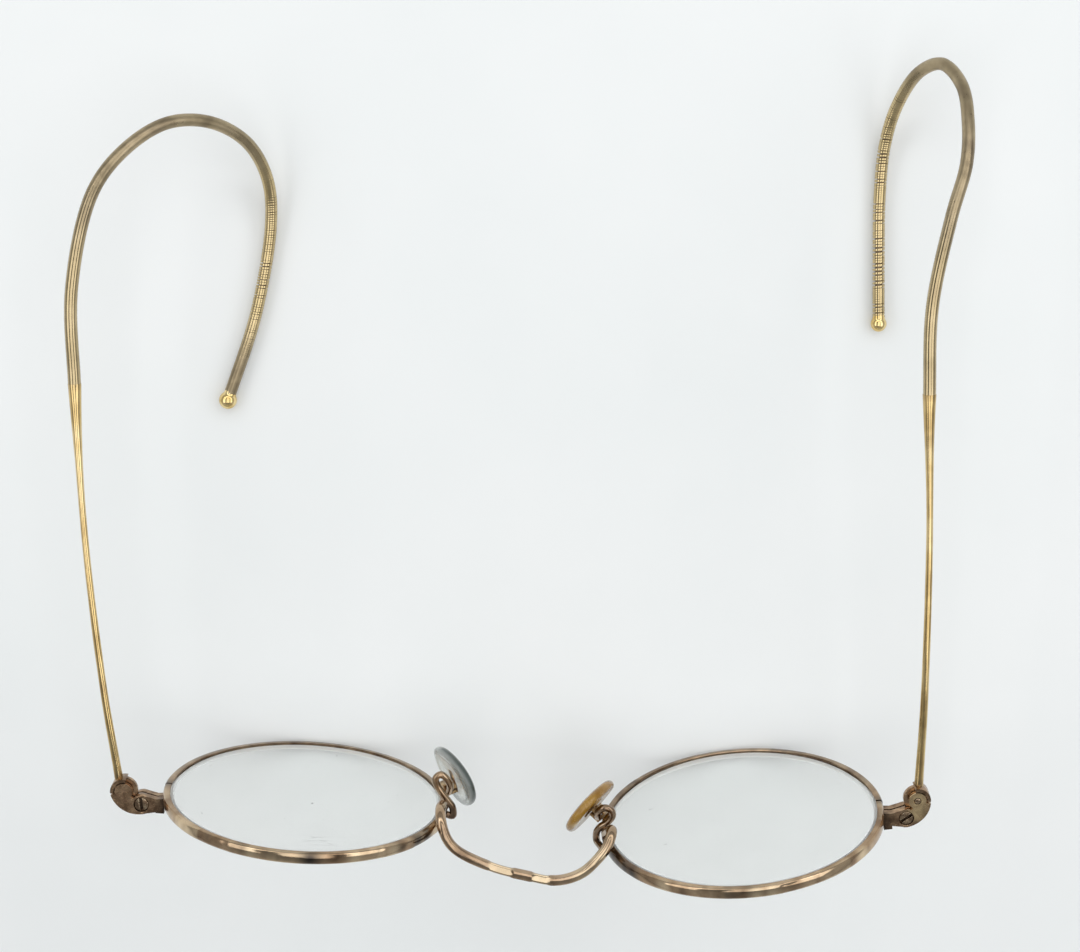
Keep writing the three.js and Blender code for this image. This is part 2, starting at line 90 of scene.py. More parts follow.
class Half:
    """One half of the glasses, with its lens centre, hinge, pad and directions."""

    def __init__(
        self, name, sign, screw_forward, ball_radius, slot_turn, pad_shift, pad_bow, pin_gap, tongue_gilt,
        arm_stain,
    ):
        self.name = name
        self.sign = sign
        self.screw = (RIM_REACH + SCREW_REACH, -screw_forward)
        self.ball_radius = ball_radius
        self.slot_turn = math.radians(slot_turn)
        self.pad_shift = pad_shift
        self.pad_bow = pad_bow
        self.pin_gap = pin_gap
        self.tongue_gilt = tongue_gilt
        self.arm_stain = arm_stain
        hinge = joints[f"{name}_temple_hinge"]
        axis = Vector(hinge["axis"])
        self.up = axis if axis.z > 0 else -axis
        across = Vector((-self.up.y, self.up.x, 0)).normalized()
        self.back = self.up.cross(across)
        self.outward = sign * across
        lowest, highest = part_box(f"{name}_rim")
        self.centre = (lowest + highest) / 2 / MM
        self.hinge = Vector(hinge["pos_m"]) / MM
        reach = self.hinge - self.centre
        self.pivot = (reach.dot(self.outward), reach.dot(self.back))
        rock = joints[f"{name}_pad_rock"]
        self.pad_pin = Vector(rock["pos_m"]) / MM
        self.pad_back = sign * Vector(rock["axis"])
        self.pad_nose = Vector(mounts[f"{name}_nose_pad_face"]["axis"])
        self.pad_up = Vector(rock["axis"]).cross(self.pad_nose)

    def beside_rim(self, beyond, back, up):
        """A place on the nose side, measured from the rim's outer edge."""
        reach = -(RIM_REACH + beyond) * self.outward
        return self.centre + reach + back * self.back + up * self.up

    def on_rim(self, degrees):
        """A place on the rim, at an angle that starts outward and goes up."""
        turn = math.radians(degrees)
        reach = RIM_REACH * math.cos(turn) * self.outward + RIM_OUTER * math.sin(turn) * self.up
        return self.centre + reach


print("rim reaches", round(RIM_REACH, 2), "mm out from the lens centre")

# %% [markdown]
# What wear did to one half and not to the other is given here in one place: how far forward its screw
# sits, which way the slot points, how its pad is bent, how loose its hinge pin is and how much of the
# gilt and the stain is left. Writing both halves out in full keeps a mirror from creeping in.

# %% The two halves
right = Half(
    "right", -1, screw_forward=2.3, ball_radius=1.3, slot_turn=80, pad_shift=1.2, pad_bow=0.75,
    pin_gap=0.0, tongue_gilt=0.0, arm_stain=0.0,
)
left = Half(
    "left", 1, screw_forward=1.9, ball_radius=1.15, slot_turn=30, pad_shift=-0.2, pad_bow=0.5,
    pin_gap=0.13, tongue_gilt=0.9, arm_stain=0.6,
)
halves = [right, left]
for half in halves:
    print(half.name, "lens centre", half.centre, "hinge", half.hinge)

# %% [markdown]
# The camera stands where the photographer held theirs: nearly straight above, a little behind the
# ear hooks, with the pair turned slightly in the picture. A long lens from about a third of a metre
# keeps the spread between the near rims and the far table true.

# %% Camera
front_middle = (right.centre + left.centre) / 2
front_middle.z = 0
AIM_BACK = 44.5
CAMERA_DISTANCE = 350
camera_tip = math.radians(10)
camera_turn = math.radians(2.84)
aim = front_middle + Vector((0, AIM_BACK, 0))
level_back = Vector((-math.sin(camera_turn), math.cos(camera_turn), 0))
sky = Vector((0, 0, 1))
to_camera = math.sin(camera_tip) * level_back + math.cos(camera_tip) * sky
image_up = math.cos(camera_tip) * level_back - math.sin(camera_tip) * sky
image_right = image_up.cross(to_camera)
camera_data = bpy.data.cameras.new("photo_camera")
camera_data.lens = 79.8
camera_data.sensor_width = 36
camera_data.clip_start = 0.01
camera = bpy.data.objects.new("photo_camera", camera_data)
turned_axes = Matrix((image_right, image_up, to_camera)).transposed().to_4x4()
camera.matrix_world = Matrix.Translation((aim + CAMERA_DISTANCE * to_camera) * MM) @ turned_axes
bpy.context.scene.collection.objects.link(camera)
bpy.context.scene.camera = camera
print("camera at mm", [round(value, 1) for value in camera.location / MM])

# %% [markdown]
# A mesh in Blender is a list of points and a list of faces that name them. Points in one place are
# merged, so that a ring that has shrunk to a point closes cleanly, and the faces are turned outward.
# Edges above a chosen angle stay crisp, and everything else is shaded smooth.

# %% Points and faces into a mesh
MERGE = 1e-5
SHARP = math.radians(38)


def object_from(name, points, faces):
    """A mesh object with merged points, outward normals and smooth shading up to sharp edges."""
    mesh = bpy.data.meshes.new(name)
    mesh.from_pydata([tuple(point) for point in points], [], faces)
    work = bmesh.new()
    work.from_mesh(mesh)
    bmesh.ops.remove_doubles(work, verts=work.verts, dist=MERGE)
    bmesh.ops.recalc_face_normals(work, faces=work.faces)
    work.to_mesh(mesh)
    work.free()
    mesh.shade_smooth()
    mesh.set_sharp_from_angle(angle=SHARP)
    piece = bpy.data.objects.new(name, mesh)
    bpy.context.scene.collection.objects.link(piece)
    return piece


print("edges above", round(math.degrees(SHARP)), "degrees stay crisp")

# %% [markdown]
# Every mesh in this lesson is made from rings: a list of closed loops of points that are skinned
# with faces, like ribs under a boat's planking. A wire is a ring carried along a line, a turned
# piece is a ring that grows and shrinks, and a plate is one outline at two heights.

# %% Rings into meshes
def skin(name, rings):
    """Closed skin over rings of equal count, with a face on each end."""
    count = len(rings[0])
    points = [point for ring in rings for point in ring]
    faces = []
    for row in range(len(rings) - 1):
        for k in range(count):
            here = row * count + k
            beside = row * count + (k + 1) % count
            faces.append((here, beside, beside + count, here + count))
    last = len(points) - count
    faces.append(tuple(range(count)))
    faces.append(tuple(range(last, last + count)))
    return object_from(name, points, faces)


def circle(radius, steps, height=0.0, x=0.0, y=0.0):
    """Points of a circle at a height."""
    turns = [math.tau * k / steps for k in range(steps)]
    return [Vector((x + radius * math.cos(turn), y + radius * math.sin(turn), height)) for turn in turns]


def turned(name, profile, steps):
    """A piece turned about Z from a profile of radius and height."""
    return skin(name, [circle(radius, steps, height) for radius, height in profile])


def prism(name, outline, low, high):
    """A plate with straight sides between two heights."""
    rings = [[Vector((x, y, height)) for x, y in outline] for height in (low, high)]
    return skin(name, rings)


print("helpers: skin, circle, turned, prism")

# %% [markdown]
# Pieces are drawn lying flat at the origin, then seated: turned to their own axes, moved to their
# place and brought to metres. A mirrored half turns its faces inside out, so they are flipped back.
# Each seated piece then rides on its body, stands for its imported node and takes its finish.

# %% Seat and keep
def seat(piece, origin, along_x, along_y, along_z):
    """Moves a piece from the origin to its own place and axes, in metres."""
    axes = Matrix((along_x, along_y, along_z)).transposed()
    place = Matrix.Translation(origin) @ axes.to_4x4()
    piece.data.transform(Matrix.Scale(MM, 4) @ place)
    if axes.determinant() < 0:
        piece.data.flip_normals()
    return piece


def seat_here(piece):
    """Brings a piece that was drawn in place to metres."""
    piece.data.transform(Matrix.Scale(MM, 4))
    return piece


def keep(piece, body, slot, material, *nodes):
    """Lets a piece ride on a body, stand for its nodes and take a finish."""
    piece.data.materials.clear()
    piece.data.materials.append(material)
    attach(piece, body)
    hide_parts(*nodes)
    print(piece.name, "rides on", body, "with", len(piece.data.polygons), "faces")
    return piece


# %% [markdown]
# Old gold-filled wire is never one colour. A thin skin of gold lies over brass, it goes brown where
# fingers and skin touch it, stays bright where cloth rubs it, and turns grey beside a solder joint.
# The finish is built from noise measured in millimetres on the piece itself: broad patches choose the tone,
# a second noise lays stains, a fine one breaks up the shine, and edges are lightened, partly as rubbed wear
# and partly as a painted highlight.

# %% Nodes and noise
def add_node(tree, kind, values):
    """A shader node with some of its inputs set by name."""
    made = tree.nodes.new(kind)
    for label, value in values.items():
        made.inputs[label].default_value = value
    return made


def on_piece(tree):
    """Coordinates fixed to the piece, in millimetres."""
    place = tree.nodes.new("ShaderNodeTexCoord")
    scaled = add_node(tree, "ShaderNodeMapping", {"Scale": (1 / MM, 1 / MM, 1 / MM)})
    tree.links.new(place.outputs["Object"], scaled.inputs["Vector"])
    return scaled.outputs["Vector"]


def mottle(tree, where, size, detail=3.0):
    """Noise whose patches are about that many millimetres across."""
    values = {"Scale": 1 / size, "Detail": detail, "Roughness": 0.6}
    made = add_node(tree, "ShaderNodeTexNoise", values)
    tree.links.new(where, made.inputs["Vector"])
    return made.outputs["Fac"]


def ramp(tree, factor, stops):
    """A colour ramp through (position, colour) stops."""
    made = tree.nodes.new("ShaderNodeValToRGB")
    elements = made.color_ramp.elements
    while len(elements) < len(stops):
        elements.new(1.0)
    for element, (position, colour) in zip(elements, stops):
        element.position = position
        element.color = (*colour, 1.0)
    tree.links.new(factor, made.inputs["Fac"])
    return made.outputs["Color"]


def spread(tree, factor, low, high):
    """Stretches a noise from its usual range to the range low to high."""
    values = {"From Min": 0.3, "From Max": 0.7, "To Min": low, "To Max": high}
    made = add_node(tree, "ShaderNodeMapRange", values)
    tree.links.new(factor, made.inputs["Value"])
    return made.outputs["Result"]


print("a noise of size 1 has patches about", MM, "m across")

# %% [markdown]
# Colours and numbers are laid over each other with mix nodes. A mix node carries sockets of the same
# name for every kind of value, so the right one is picked by its type. A number written on the mesh,
# such as a stain at one spot, comes in through an attribute node.

# %% Mixing
def socket(sockets, name, kind):
    """The socket of a mix node that carries this kind of value."""
    return next(one for one in sockets if one.name == name and one.type == kind)


def tint(tree, factor, base, colour):
    """Mixes a plain colour over a colour socket by a factor socket."""
    made = tree.nodes.new("ShaderNodeMix")
    made.data_type = "RGBA"
    socket(made.inputs, "B", "RGBA").default_value = (*colour, 1.0)
    tree.links.new(factor, socket(made.inputs, "Factor", "VALUE"))
    tree.links.new(base, socket(made.inputs, "A", "RGBA"))
    return socket(made.outputs, "Result", "RGBA")


def blend(tree, factor, base, value):
    """Mixes a plain number over a number socket by a factor socket."""
    made = tree.nodes.new("ShaderNodeMix")
    socket(made.inputs, "B", "VALUE").default_value = value
    tree.links.new(factor, socket(made.inputs, "Factor", "VALUE"))
    tree.links.new(base, socket(made.inputs, "A", "VALUE"))
    return socket(made.outputs, "Result", "VALUE")


def written(tree, label):
    """A number that was written on the points of the mesh."""
    made = tree.nodes.new("ShaderNodeAttribute")
    made.attribute_name = label
    return made.outputs["Fac"]


print("helpers: socket, tint, blend, written")

# %% [markdown]
# Every finish starts from Blender's own principled shader and ends with a fine bump, which stands for
# the grain that is too small to be modelled. The bump's depth is given in millimetres as well.

# %% Shader and bump
def shader(name):
    """A new material with its node tree and its main shader."""
    material = bpy.data.materials.new(name)
    material.use_nodes = True
    tree = material.node_tree
    return material, tree, tree.nodes["Principled BSDF"]


def roughen(tree, main, where, size, depth):
    """A fine bump on a shader, with grain size and depth in millimetres."""
    bump = add_node(tree, "ShaderNodeBump", {"Distance": depth * MM, "Strength": 1.0})
    tree.links.new(mottle(tree, where, size), bump.inputs["Height"])
    tree.links.new(bump.outputs["Normal"], main.inputs["Normal"])


print("helpers: shader, roughen")

# %% [markdown]
# One recipe serves every metal on the pair, and only its tones, sizes and shine differ. Marks on the mesh
# join in by name: a stain beside solder, which inside the cables is painted shade, gilt where the skin of
# gold is whole, and a place that is rubbed smooth. Pointiness, which is how far the mesh bulges at a point,
# finds the edges, and these are lightened partly as wear and partly as a painted highlight.

# %% Worn metal
STAIN_AND_SHADE = "stain_and_painted_shade"
GILT = "bright_gilt"
RUBBED = "rubbed_smooth"
POLISHED = 0.08
BLACK = (0, 0, 0)
TONE_STOPS = (0.36, 0.5, 0.64)
EDGE_LOW = 0.52
EDGE_HIGH = 0.6
BLOT_LOW = 0.55
BLOT_HIGH = 0.72
BLOT_DEPTH = (0.6, 0.6, 0.6)
SHINE_BREAK = 3


def worn_metal(name, tones, patch, shine, stain_and_shade_tone, stain_size, edge, edge_wear_and_sheen=0.0):
    """Metal with mottled tones, stains and painted shade, gilt, lightened edges, rubbed places and a broken
    shine.
    """
    material, tree, main = shader(name)
    main.inputs["Metallic"].default_value = 1.0
    where = on_piece(tree)
    base = ramp(tree, mottle(tree, where, patch), list(zip(TONE_STOPS, tones)))
    # edges lightened by pointiness: partly rubbed wear, partly a painted highlight along the bevels
    convex = tree.nodes.new("ShaderNodeNewGeometry").outputs["Pointiness"]
    bright = (edge_wear_and_sheen, edge_wear_and_sheen, edge_wear_and_sheen)
    edges = ramp(tree, convex, [(EDGE_LOW, BLACK), (EDGE_HIGH, bright)])
    base = tint(tree, edges, base, edge)
    blots = ramp(tree, mottle(tree, where, stain_size), [(BLOT_LOW, BLACK), (BLOT_HIGH, BLOT_DEPTH)])
    base = tint(tree, blots, base, stain_and_shade_tone)
    base = tint(tree, written(tree, GILT), base, edge)
    # stains written on the mesh; on the cables' heart this mark is painted shade
    base = tint(tree, written(tree, STAIN_AND_SHADE), base, stain_and_shade_tone)
    tree.links.new(base, main.inputs["Base Color"])
    dull = spread(tree, mottle(tree, where, patch / SHINE_BREAK), *shine)
    tree.links.new(blend(tree, written(tree, RUBBED), dull, POLISHED), main.inputs["Roughness"])
    roughen(tree, main, where, size=0.15, depth=0.002)
    print("finish", name)
    return material


# %% [markdown]
# Each metal has a dark, a middle and a light tone. The rims and the bridge are rose gold gone brown,
# the bars and the balls kept their yellow, and the cables are dulled by skin. Patch is the size of the
# mottle in millimetres, shine the range of roughness, and edge the colour where bright metal shows.

# %% Golds
rim_gold = worn_metal(
    "rim_gold",
    tones=[(0.24, 0.155, 0.095), (0.385, 0.265, 0.165), (0.53, 0.39, 0.255)],
    patch=4, shine=(0.08, 0.16), stain_and_shade_tone=(0.055, 0.047, 0.042), stain_size=5,
    edge=(0.84, 0.68, 0.46),
)
bridge_gold = worn_metal(
    "bridge_gold",
    tones=[(0.28, 0.19, 0.12), (0.40, 0.28, 0.18), (0.52, 0.385, 0.26)],
    patch=4, shine=(0.09, 0.18), stain_and_shade_tone=(0.13, 0.085, 0.06), stain_size=6,
    edge=(0.86, 0.72, 0.49),
)
bar_gold = worn_metal(
    "bar_gold",
    tones=[(0.52, 0.365, 0.16), (0.66, 0.485, 0.225), (0.78, 0.605, 0.32)],
    patch=7, shine=(0.05, 0.11), stain_and_shade_tone=(0.28, 0.185, 0.10), stain_size=9,
    edge=(0.90, 0.74, 0.44),
)
cable_gold = worn_metal(
    "cable_gold",
    tones=[(0.27, 0.215, 0.135), (0.37, 0.295, 0.185), (0.46, 0.37, 0.24)],
    patch=5, shine=(0.26, 0.38), stain_and_shade_tone=(0.16, 0.12, 0.085), stain_size=8,
    edge=(0.76, 0.59, 0.30),
)
ball_gold = worn_metal(
    "ball_gold",
    tones=[(0.66, 0.46, 0.17), (0.80, 0.60, 0.26), (0.88, 0.70, 0.36)],
    patch=1.4, shine=(0.06, 0.14), stain_and_shade_tone=(0.40, 0.27, 0.12), stain_size=2.4,
    edge=(0.9, 0.76, 0.46),
)

# %% [markdown]
# The end pieces, the screws and the pad fittings are bronze and steel under old dirt. They are small, so
# their mottle is fine, and their edges are lighter than their faces, partly from rubbing and partly as a
# painted highlight.

# %% Bronze and steel
endpiece_bronze = worn_metal(
    "endpiece_bronze",
    tones=[(0.185, 0.106, 0.064), (0.33, 0.206, 0.127), (0.5, 0.335, 0.21)],
    patch=1.4, shine=(0.18, 0.3), stain_and_shade_tone=(0.05, 0.031, 0.022), stain_size=2,
    edge=(0.98, 0.76, 0.42), edge_wear_and_sheen=0.06,
)
screw_steel = worn_metal(
    "screw_steel",
    tones=[(0.18, 0.115, 0.072), (0.3, 0.205, 0.13), (0.45, 0.335, 0.215)],
    patch=0.7, shine=(0.18, 0.32), stain_and_shade_tone=(0.03, 0.018, 0.013), stain_size=1.2,
    edge=(0.78, 0.64, 0.46), edge_wear_and_sheen=0.5,
)
mount_brown = worn_metal(
    "mount_brown",
    tones=[(0.10, 0.05, 0.028), (0.22, 0.13, 0.07), (0.55, 0.38, 0.19)],
    patch=0.7, shine=(0.22, 0.4), stain_and_shade_tone=(0.05, 0.026, 0.018), stain_size=1.2,
    edge=(0.8, 0.58, 0.3), edge_wear_and_sheen=0.4,
)

# %% [markdown]
# The lenses are plain crown glass and the right pad is a clear plastic that has gone grey. Both are
# refractive, but light has to reach the table through them, so shadow rays meet a thin tint instead
# of a solid block. A glass could also be left fully opaque to shadows, but then a pair of spectacles
# would stand in two dark discs.

# %% Light through glass
def let_shadows_through(tree, main, colour):
    """Lets light pass on straight lines where a shadow is worked out."""
    clear = add_node(tree, "ShaderNodeBsdfTransparent", {"Color": (*colour, 1.0)})
    path = tree.nodes.new("ShaderNodeLightPath")
    either = tree.nodes.new("ShaderNodeMixShader")
    surface = tree.nodes["Material Output"].inputs["Surface"]
    first, second = [one for one in either.inputs if one.type == "SHADER"]
    tree.links.new(path.outputs["Is Shadow Ray"], either.inputs["Fac"])
    tree.links.new(main.outputs["BSDF"], first)
    tree.links.new(clear.outputs["BSDF"], second)
    tree.links.new(either.outputs["Shader"], surface)


print("helper: let_shadows_through")

# %% [markdown]
# Old glass isn't spotless. Faint clouds, a few specks of dust and a scratch are mixed into its tint, and
# the ground edge turns it to frost, while on the grey pad the same marked edge is painted dark as shade.
# The scratch is one thin band of a noise that is drawn out sideways, so that it runs like a hair, and it
# only shows where the mesh is marked for it.

# %% Clear glass
WHITE = (1, 1, 1)
CLEAR = 0.98
FROST_AND_SHADED_EDGE = "frosted_and_shaded_edge"
SCRATCHED = "scratched"
DUST = (0.18, 0.19, 0.18)
FAINT_STOPS = (0.3, 0.7)
CLOUD_SIZE = 6
SMEAR_SIZE = 2.5
SPECK_DETAIL = 1.0
SPECKS = [(0.78, BLACK), (0.81, WHITE)]
HAIR_STRETCH = (0.25, 1, 1)
HAIR_SIZE = 2.8
HAIRLINE = [(0.49, BLACK), (0.5, WHITE), (0.51, BLACK)]


def clear_glass(name, tones, speck_size, shine, edge, edge_shine, edge_clear, through):
    """Clear material with faint clouding, specks, a scratch where marked and a marked edge in its own
    colour, frosted on the lens and painted shade on the pad.
    """
    material, tree, main = shader(name)
    main.inputs["IOR"].default_value = 1.5
    where = on_piece(tree)
    base = ramp(tree, mottle(tree, where, CLOUD_SIZE), list(zip(FAINT_STOPS, tones)))
    specks = ramp(tree, mottle(tree, where, speck_size, SPECK_DETAIL), SPECKS)
    base = tint(tree, specks, base, DUST)
    drawn_out = add_node(tree, "ShaderNodeMapping", {"Scale": HAIR_STRETCH})
    tree.links.new(where, drawn_out.inputs["Vector"])
    hair = ramp(tree, mottle(tree, drawn_out.outputs["Vector"], HAIR_SIZE), HAIRLINE)
    scratch = tree.nodes.new("ShaderNodeMath")
    scratch.operation = "MULTIPLY"
    tree.links.new(hair, scratch.inputs[0])
    tree.links.new(written(tree, SCRATCHED), scratch.inputs[1])
    base = tint(tree, scratch.outputs["Value"], base, DUST)
    edge_frost_and_shade = written(tree, FROST_AND_SHADED_EDGE)
    clear = add_node(tree, "ShaderNodeMapRange", {"To Min": CLEAR, "To Max": edge_clear})
    tree.links.new(edge_frost_and_shade, clear.inputs["Value"])
    tree.links.new(clear.outputs["Result"], main.inputs["Transmission Weight"])
    base = tint(tree, edge_frost_and_shade, base, edge)
    tree.links.new(base, main.inputs["Base Color"])
    dull = spread(tree, mottle(tree, where, SMEAR_SIZE), *shine)
    tree.links.new(blend(tree, edge_frost_and_shade, dull, edge_shine), main.inputs["Roughness"])
    roughen(tree, main, where, size=3, depth=0.002)
    let_shadows_through(tree, main, through)
    print("finish", name)
    return material


# %% [markdown]
# The lens is nearly colourless and sharply polished, and its bevel is frosted white. The pad's plastic has
# a grey cast and a softer polish, and its edge is painted almost black as shade, because it is so thick to
# look through.

# %% Lens glass and grey plastic
lens_glass = clear_glass(
    "lens_glass", tones=[(0.89, 0.90, 0.89), (0.92, 0.93, 0.92)],
    speck_size=0.6, shine=(0.0, 0.03), edge=(0.9, 0.91, 0.9), edge_shine=0.8,
    edge_clear=0.6, through=(0.93, 0.94, 0.94),
)
# the near-black edge colour here is painted shade along the pad's thick edge
pad_grey = clear_glass(
    "pad_grey", tones=[(0.77, 0.79, 0.76), (0.84, 0.86, 0.83)],
    speck_size=0.8, shine=(0.05, 0.14), edge=(0.035, 0.05, 0.044), edge_shine=0.16,
    edge_clear=0.25, through=(0.7, 0.74, 0.72),
)

# %% [markdown]
# The left pad is amber plastic, cloudy inside, with a paler streak on its arm side that is partly creamy
# plastic and partly a painted highlight. Amber scatters most of the light, so it lets only a little
# through, and a thin clear coat gives it its polish.

# %% Amber
PALE_AND_SHEEN = "pale_streak_and_sheen"
PALE_AMBER = (0.74, 0.56, 0.27)
AMBER_CLOUD = 3
AMBER_SMEAR = 1.2
AMBER_SHINE = (0.18, 0.3)
amber_tones = [(0.27, 0.13, 0.012), (0.345, 0.18, 0.02), (0.42, 0.24, 0.036)]


def amber_plastic(name):
    """Cloudy amber that pales where it is marked."""
    material, tree, main = shader(name)
    main.inputs["Transmission Weight"].default_value = 0.1
    main.inputs["IOR"].default_value = 1.49
    main.inputs["Coat Weight"].default_value = 0.25
    where = on_piece(tree)
    base = ramp(tree, mottle(tree, where, AMBER_CLOUD), list(zip(TONE_STOPS, amber_tones)))
    # pale streak where marked: creamy plastic and a painted highlight
    base = tint(tree, written(tree, PALE_AND_SHEEN), base, PALE_AMBER)
    tree.links.new(base, main.inputs["Base Color"])
    dull = spread(tree, mottle(tree, where, AMBER_SMEAR), *AMBER_SHINE)
    tree.links.new(dull, main.inputs["Roughness"])
    roughen(tree, main, where, size=0.4, depth=0.004)
    print("finish", name)
    return material


pad_amber = amber_plastic("pad_amber")

# %% [markdown]
# A stain that belongs to one spot, such as the grey beside a solder joint, can't be left to noise.
# It is written on the mesh itself, as a number for each point that falls off with the distance from
# the spot, and the finish reads it back.

# %% Marks written on the mesh
def layer_of(piece, label):
    """The numbers of one kind that are written on a mesh, made when first asked for."""
    attributes = piece.data.attributes
    layer = attributes.get(label) or attributes.new(label, "FLOAT", "POINT")
    return layer.data


def mark(piece, label, spots, reach, amount=1.0):
    """Writes an amount on the points at some spots, fading to nothing at a reach in millimetres."""
    for vertex, value in zip(piece.data.vertices, layer_of(piece, label)):
        nearest = min((vertex.co / MM - spot).length for spot in spots)
        closeness = max(0.0, 1 - nearest / reach)
        value.value = max(value.value, amount * closeness * closeness * (3 - 2 * closeness))
    return piece


print("helpers: layer_of, mark")

# %% [markdown]
# A rim is a flat wire drawn with a groove along its inside, bent round the lens and split at the
# temple side, where a screw draws it tight. A ring from the primitive menu has neither groove nor
# split, so the wire's section is drawn once and carried round. The bending leaves slight flats on
# the outer face, which is why the light breaks along a real rim.

# %% Section of a rim
RIM_INNER = 18.65
GROOVE_RADIUS = 19.05
RIM_HALF = 0.8
GROOVE_HALF = 0.5
INNER_CORNER = 0.08
outer_rounding = [(0.34, 0.0), (0.22, 0.06), (0.07, 0.22), (0.02, 0.44)]
rear_edge = [
    (RIM_INNER, GROOVE_HALF), (RIM_INNER, RIM_HALF - INNER_CORNER), (RIM_INNER + INNER_CORNER, RIM_HALF),
    *[(RIM_OUTER - inward, RIM_HALF - drop) for inward, drop in outer_rounding],
]
front_edge = [(radius, -height) for radius, height in rear_edge]
rim_section = [*front_edge, (RIM_OUTER, 0.0), *reversed(rear_edge), (GROOVE_RADIUS, 0.0)]
print("rim wire is", round(RIM_OUTER - RIM_INNER, 2), "by", 2 * RIM_HALF, "mm")

# %% [markdown]
# Each flat on the rim is the same face turned by a few degrees. Its slope is picked by a noise that
# stays level within a cell, so a flat keeps one slope from end to end, with a short blend to the next.
# A smooth noise would ripple the wire instead of breaking it into flats.

# %% Flats on the rims
FLAT_LENGTH = 5.5
FLAT_SLOPE = 0.09
FLAT_BLEND = 0.1
SLOPE_ROW = 0.5


def cell_noise(number, seed, row):
    """A number from -1 to 1 that belongs to one cell of a row of cells."""
    return noise.cell(Vector((number, seed, row)))


def flat_slope(distance, seed):
    """Slope of the flat at a distance along a wire, with short blends between flats."""
    place = distance / FLAT_LENGTH
    number = math.floor(place)
    share = min(max((place - number - 1 + FLAT_BLEND) / FLAT_BLEND, 0), 1)
    here = cell_noise(number, seed, SLOPE_ROW)
    after = cell_noise(number + 1, seed, SLOPE_ROW)
    return FLAT_SLOPE * (here + (after - here) * share)


print("a rim has about", round(math.tau * RIM_OUTER / FLAT_LENGTH), "flats")

# %% [markdown]
# The section is carried round the lens, sunk at each step by the slope of its flat, and the ring is
# then made slightly oval like the lens. Each flat also gets its own share of gilt, because some were
# pressed brighter than others. The ring stops just short of itself, which leaves the split.

# %% Rim wire
SPLIT_HALF = 0.15
SPLIT_TURN = SPLIT_HALF / RIM_OUTER
RIM_STEPS = 320
FLAT_GILT = 0.45
GILT_ROW = 4.5
OVAL = Matrix.Diagonal((LENS_OVAL, 1, 1, 1))


def tone_flats(ring_piece, half):
    """Gives each flat on the outer face its own tone, from stained to gilt."""
    gilt = layer_of(ring_piece, GILT)
    for k, vertex in enumerate(ring_piece.data.vertices):
        turn = math.atan2(vertex.co.y, vertex.co.x) % math.tau
        number = math.floor(turn * RIM_OUTER / FLAT_LENGTH)
        if vertex.co.xy.length > GROOVE_RADIUS:
            gilt[k].value = FLAT_GILT * max(0, cell_noise(number, half.sign, GILT_ROW))


def rim_ring(half):
    """A split ring of grooved wire whose outer face is broken into slight flats."""
    rings = []
    for step in range(RIM_STEPS + 1):
        turn = SPLIT_TURN + (math.tau - 2 * SPLIT_TURN) * step / RIM_STEPS
        outward = Vector((math.cos(turn), math.sin(turn), 0))
        slope = flat_slope(turn * RIM_OUTER, half.sign)
        ring = []
        for radius, height in rim_section:
            outer_share = max(0, radius - GROOVE_RADIUS) / (RIM_OUTER - GROOVE_RADIUS)
            sunk = outer_share * abs(slope) * (RIM_HALF + math.copysign(height, slope))
            ring.append(outward * (radius - sunk) + Vector((0, 0, height)))
        rings.append(ring)
    ring_piece = skin(f"{half.name}_rim_ring", rings)
    tone_flats(ring_piece, half)
    ring_piece.data.transform(OVAL)
    return ring_piece


print("split in the rim is", 2 * SPLIT_HALF, "mm wide")

# %% [markdown]
# The rims are seated and marked by angle: 0 is at the temple, 90 on top and 180 at the nose. They are dark
# where the bridge and the end piece were soldered, darker all along the lower half, and bright where a flat
# has been rubbed.

# %% Rims
stained_angles = {"right": (0, 97, 146, 152, 168, 180), "left": (0, 145, 150, 155, 160, 165, 170, 180)}
gilt_angles = {"right": (36, 42, 74, 115, 132), "left": (40, 84, 90, 128)}
lower_angles = range(200, 350, 10)
for half in halves:
    rim = rim_ring(half)
    seat(rim, half.centre, half.outward, half.up, half.back)
    mark(rim, STAIN_AND_SHADE, [half.on_rim(angle) for angle in stained_angles[half.name]], reach=2.4)
    # darker all along the lower half of the rim
    mark(rim, STAIN_AND_SHADE, [half.on_rim(angle) for angle in lower_angles], reach=3.5, amount=0.55)
    mark(rim, GILT, [half.on_rim(angle) for angle in gilt_angles[half.name]], reach=1.8, amount=0.7)
    keep(rim, "front", "rim_gold", rim_gold, f"{half.name}_rim")

# %% [markdown]
# Each lens is a thin meniscus: both faces bow forward on the same curve, and the edge is ground to
# a bevel that sits in the rim's groove. It is turned from a profile, fine enough that the bent light
# behind it stays smooth. The bevel is left grey from the grinding wheel, so its points are marked
# and the finish turns them to frosted glass; a polished bevel would show as a black ring.

# %% Lenses
LENS_RADIUS = 18.9
LENS_FACE = 18.3
LENS_HALF = 0.6
LENS_CURVE = 90
LENS_STEPS = 160
LENS_RINGS = 14
EDGE_STEP = 0.06


def lens_drop(radius):
    """How far a face has fallen back at a radius, measured from the edge of the face."""
    return math.sqrt(LENS_CURVE**2 - LENS_FACE**2) - math.sqrt(LENS_CURVE**2 - radius**2)


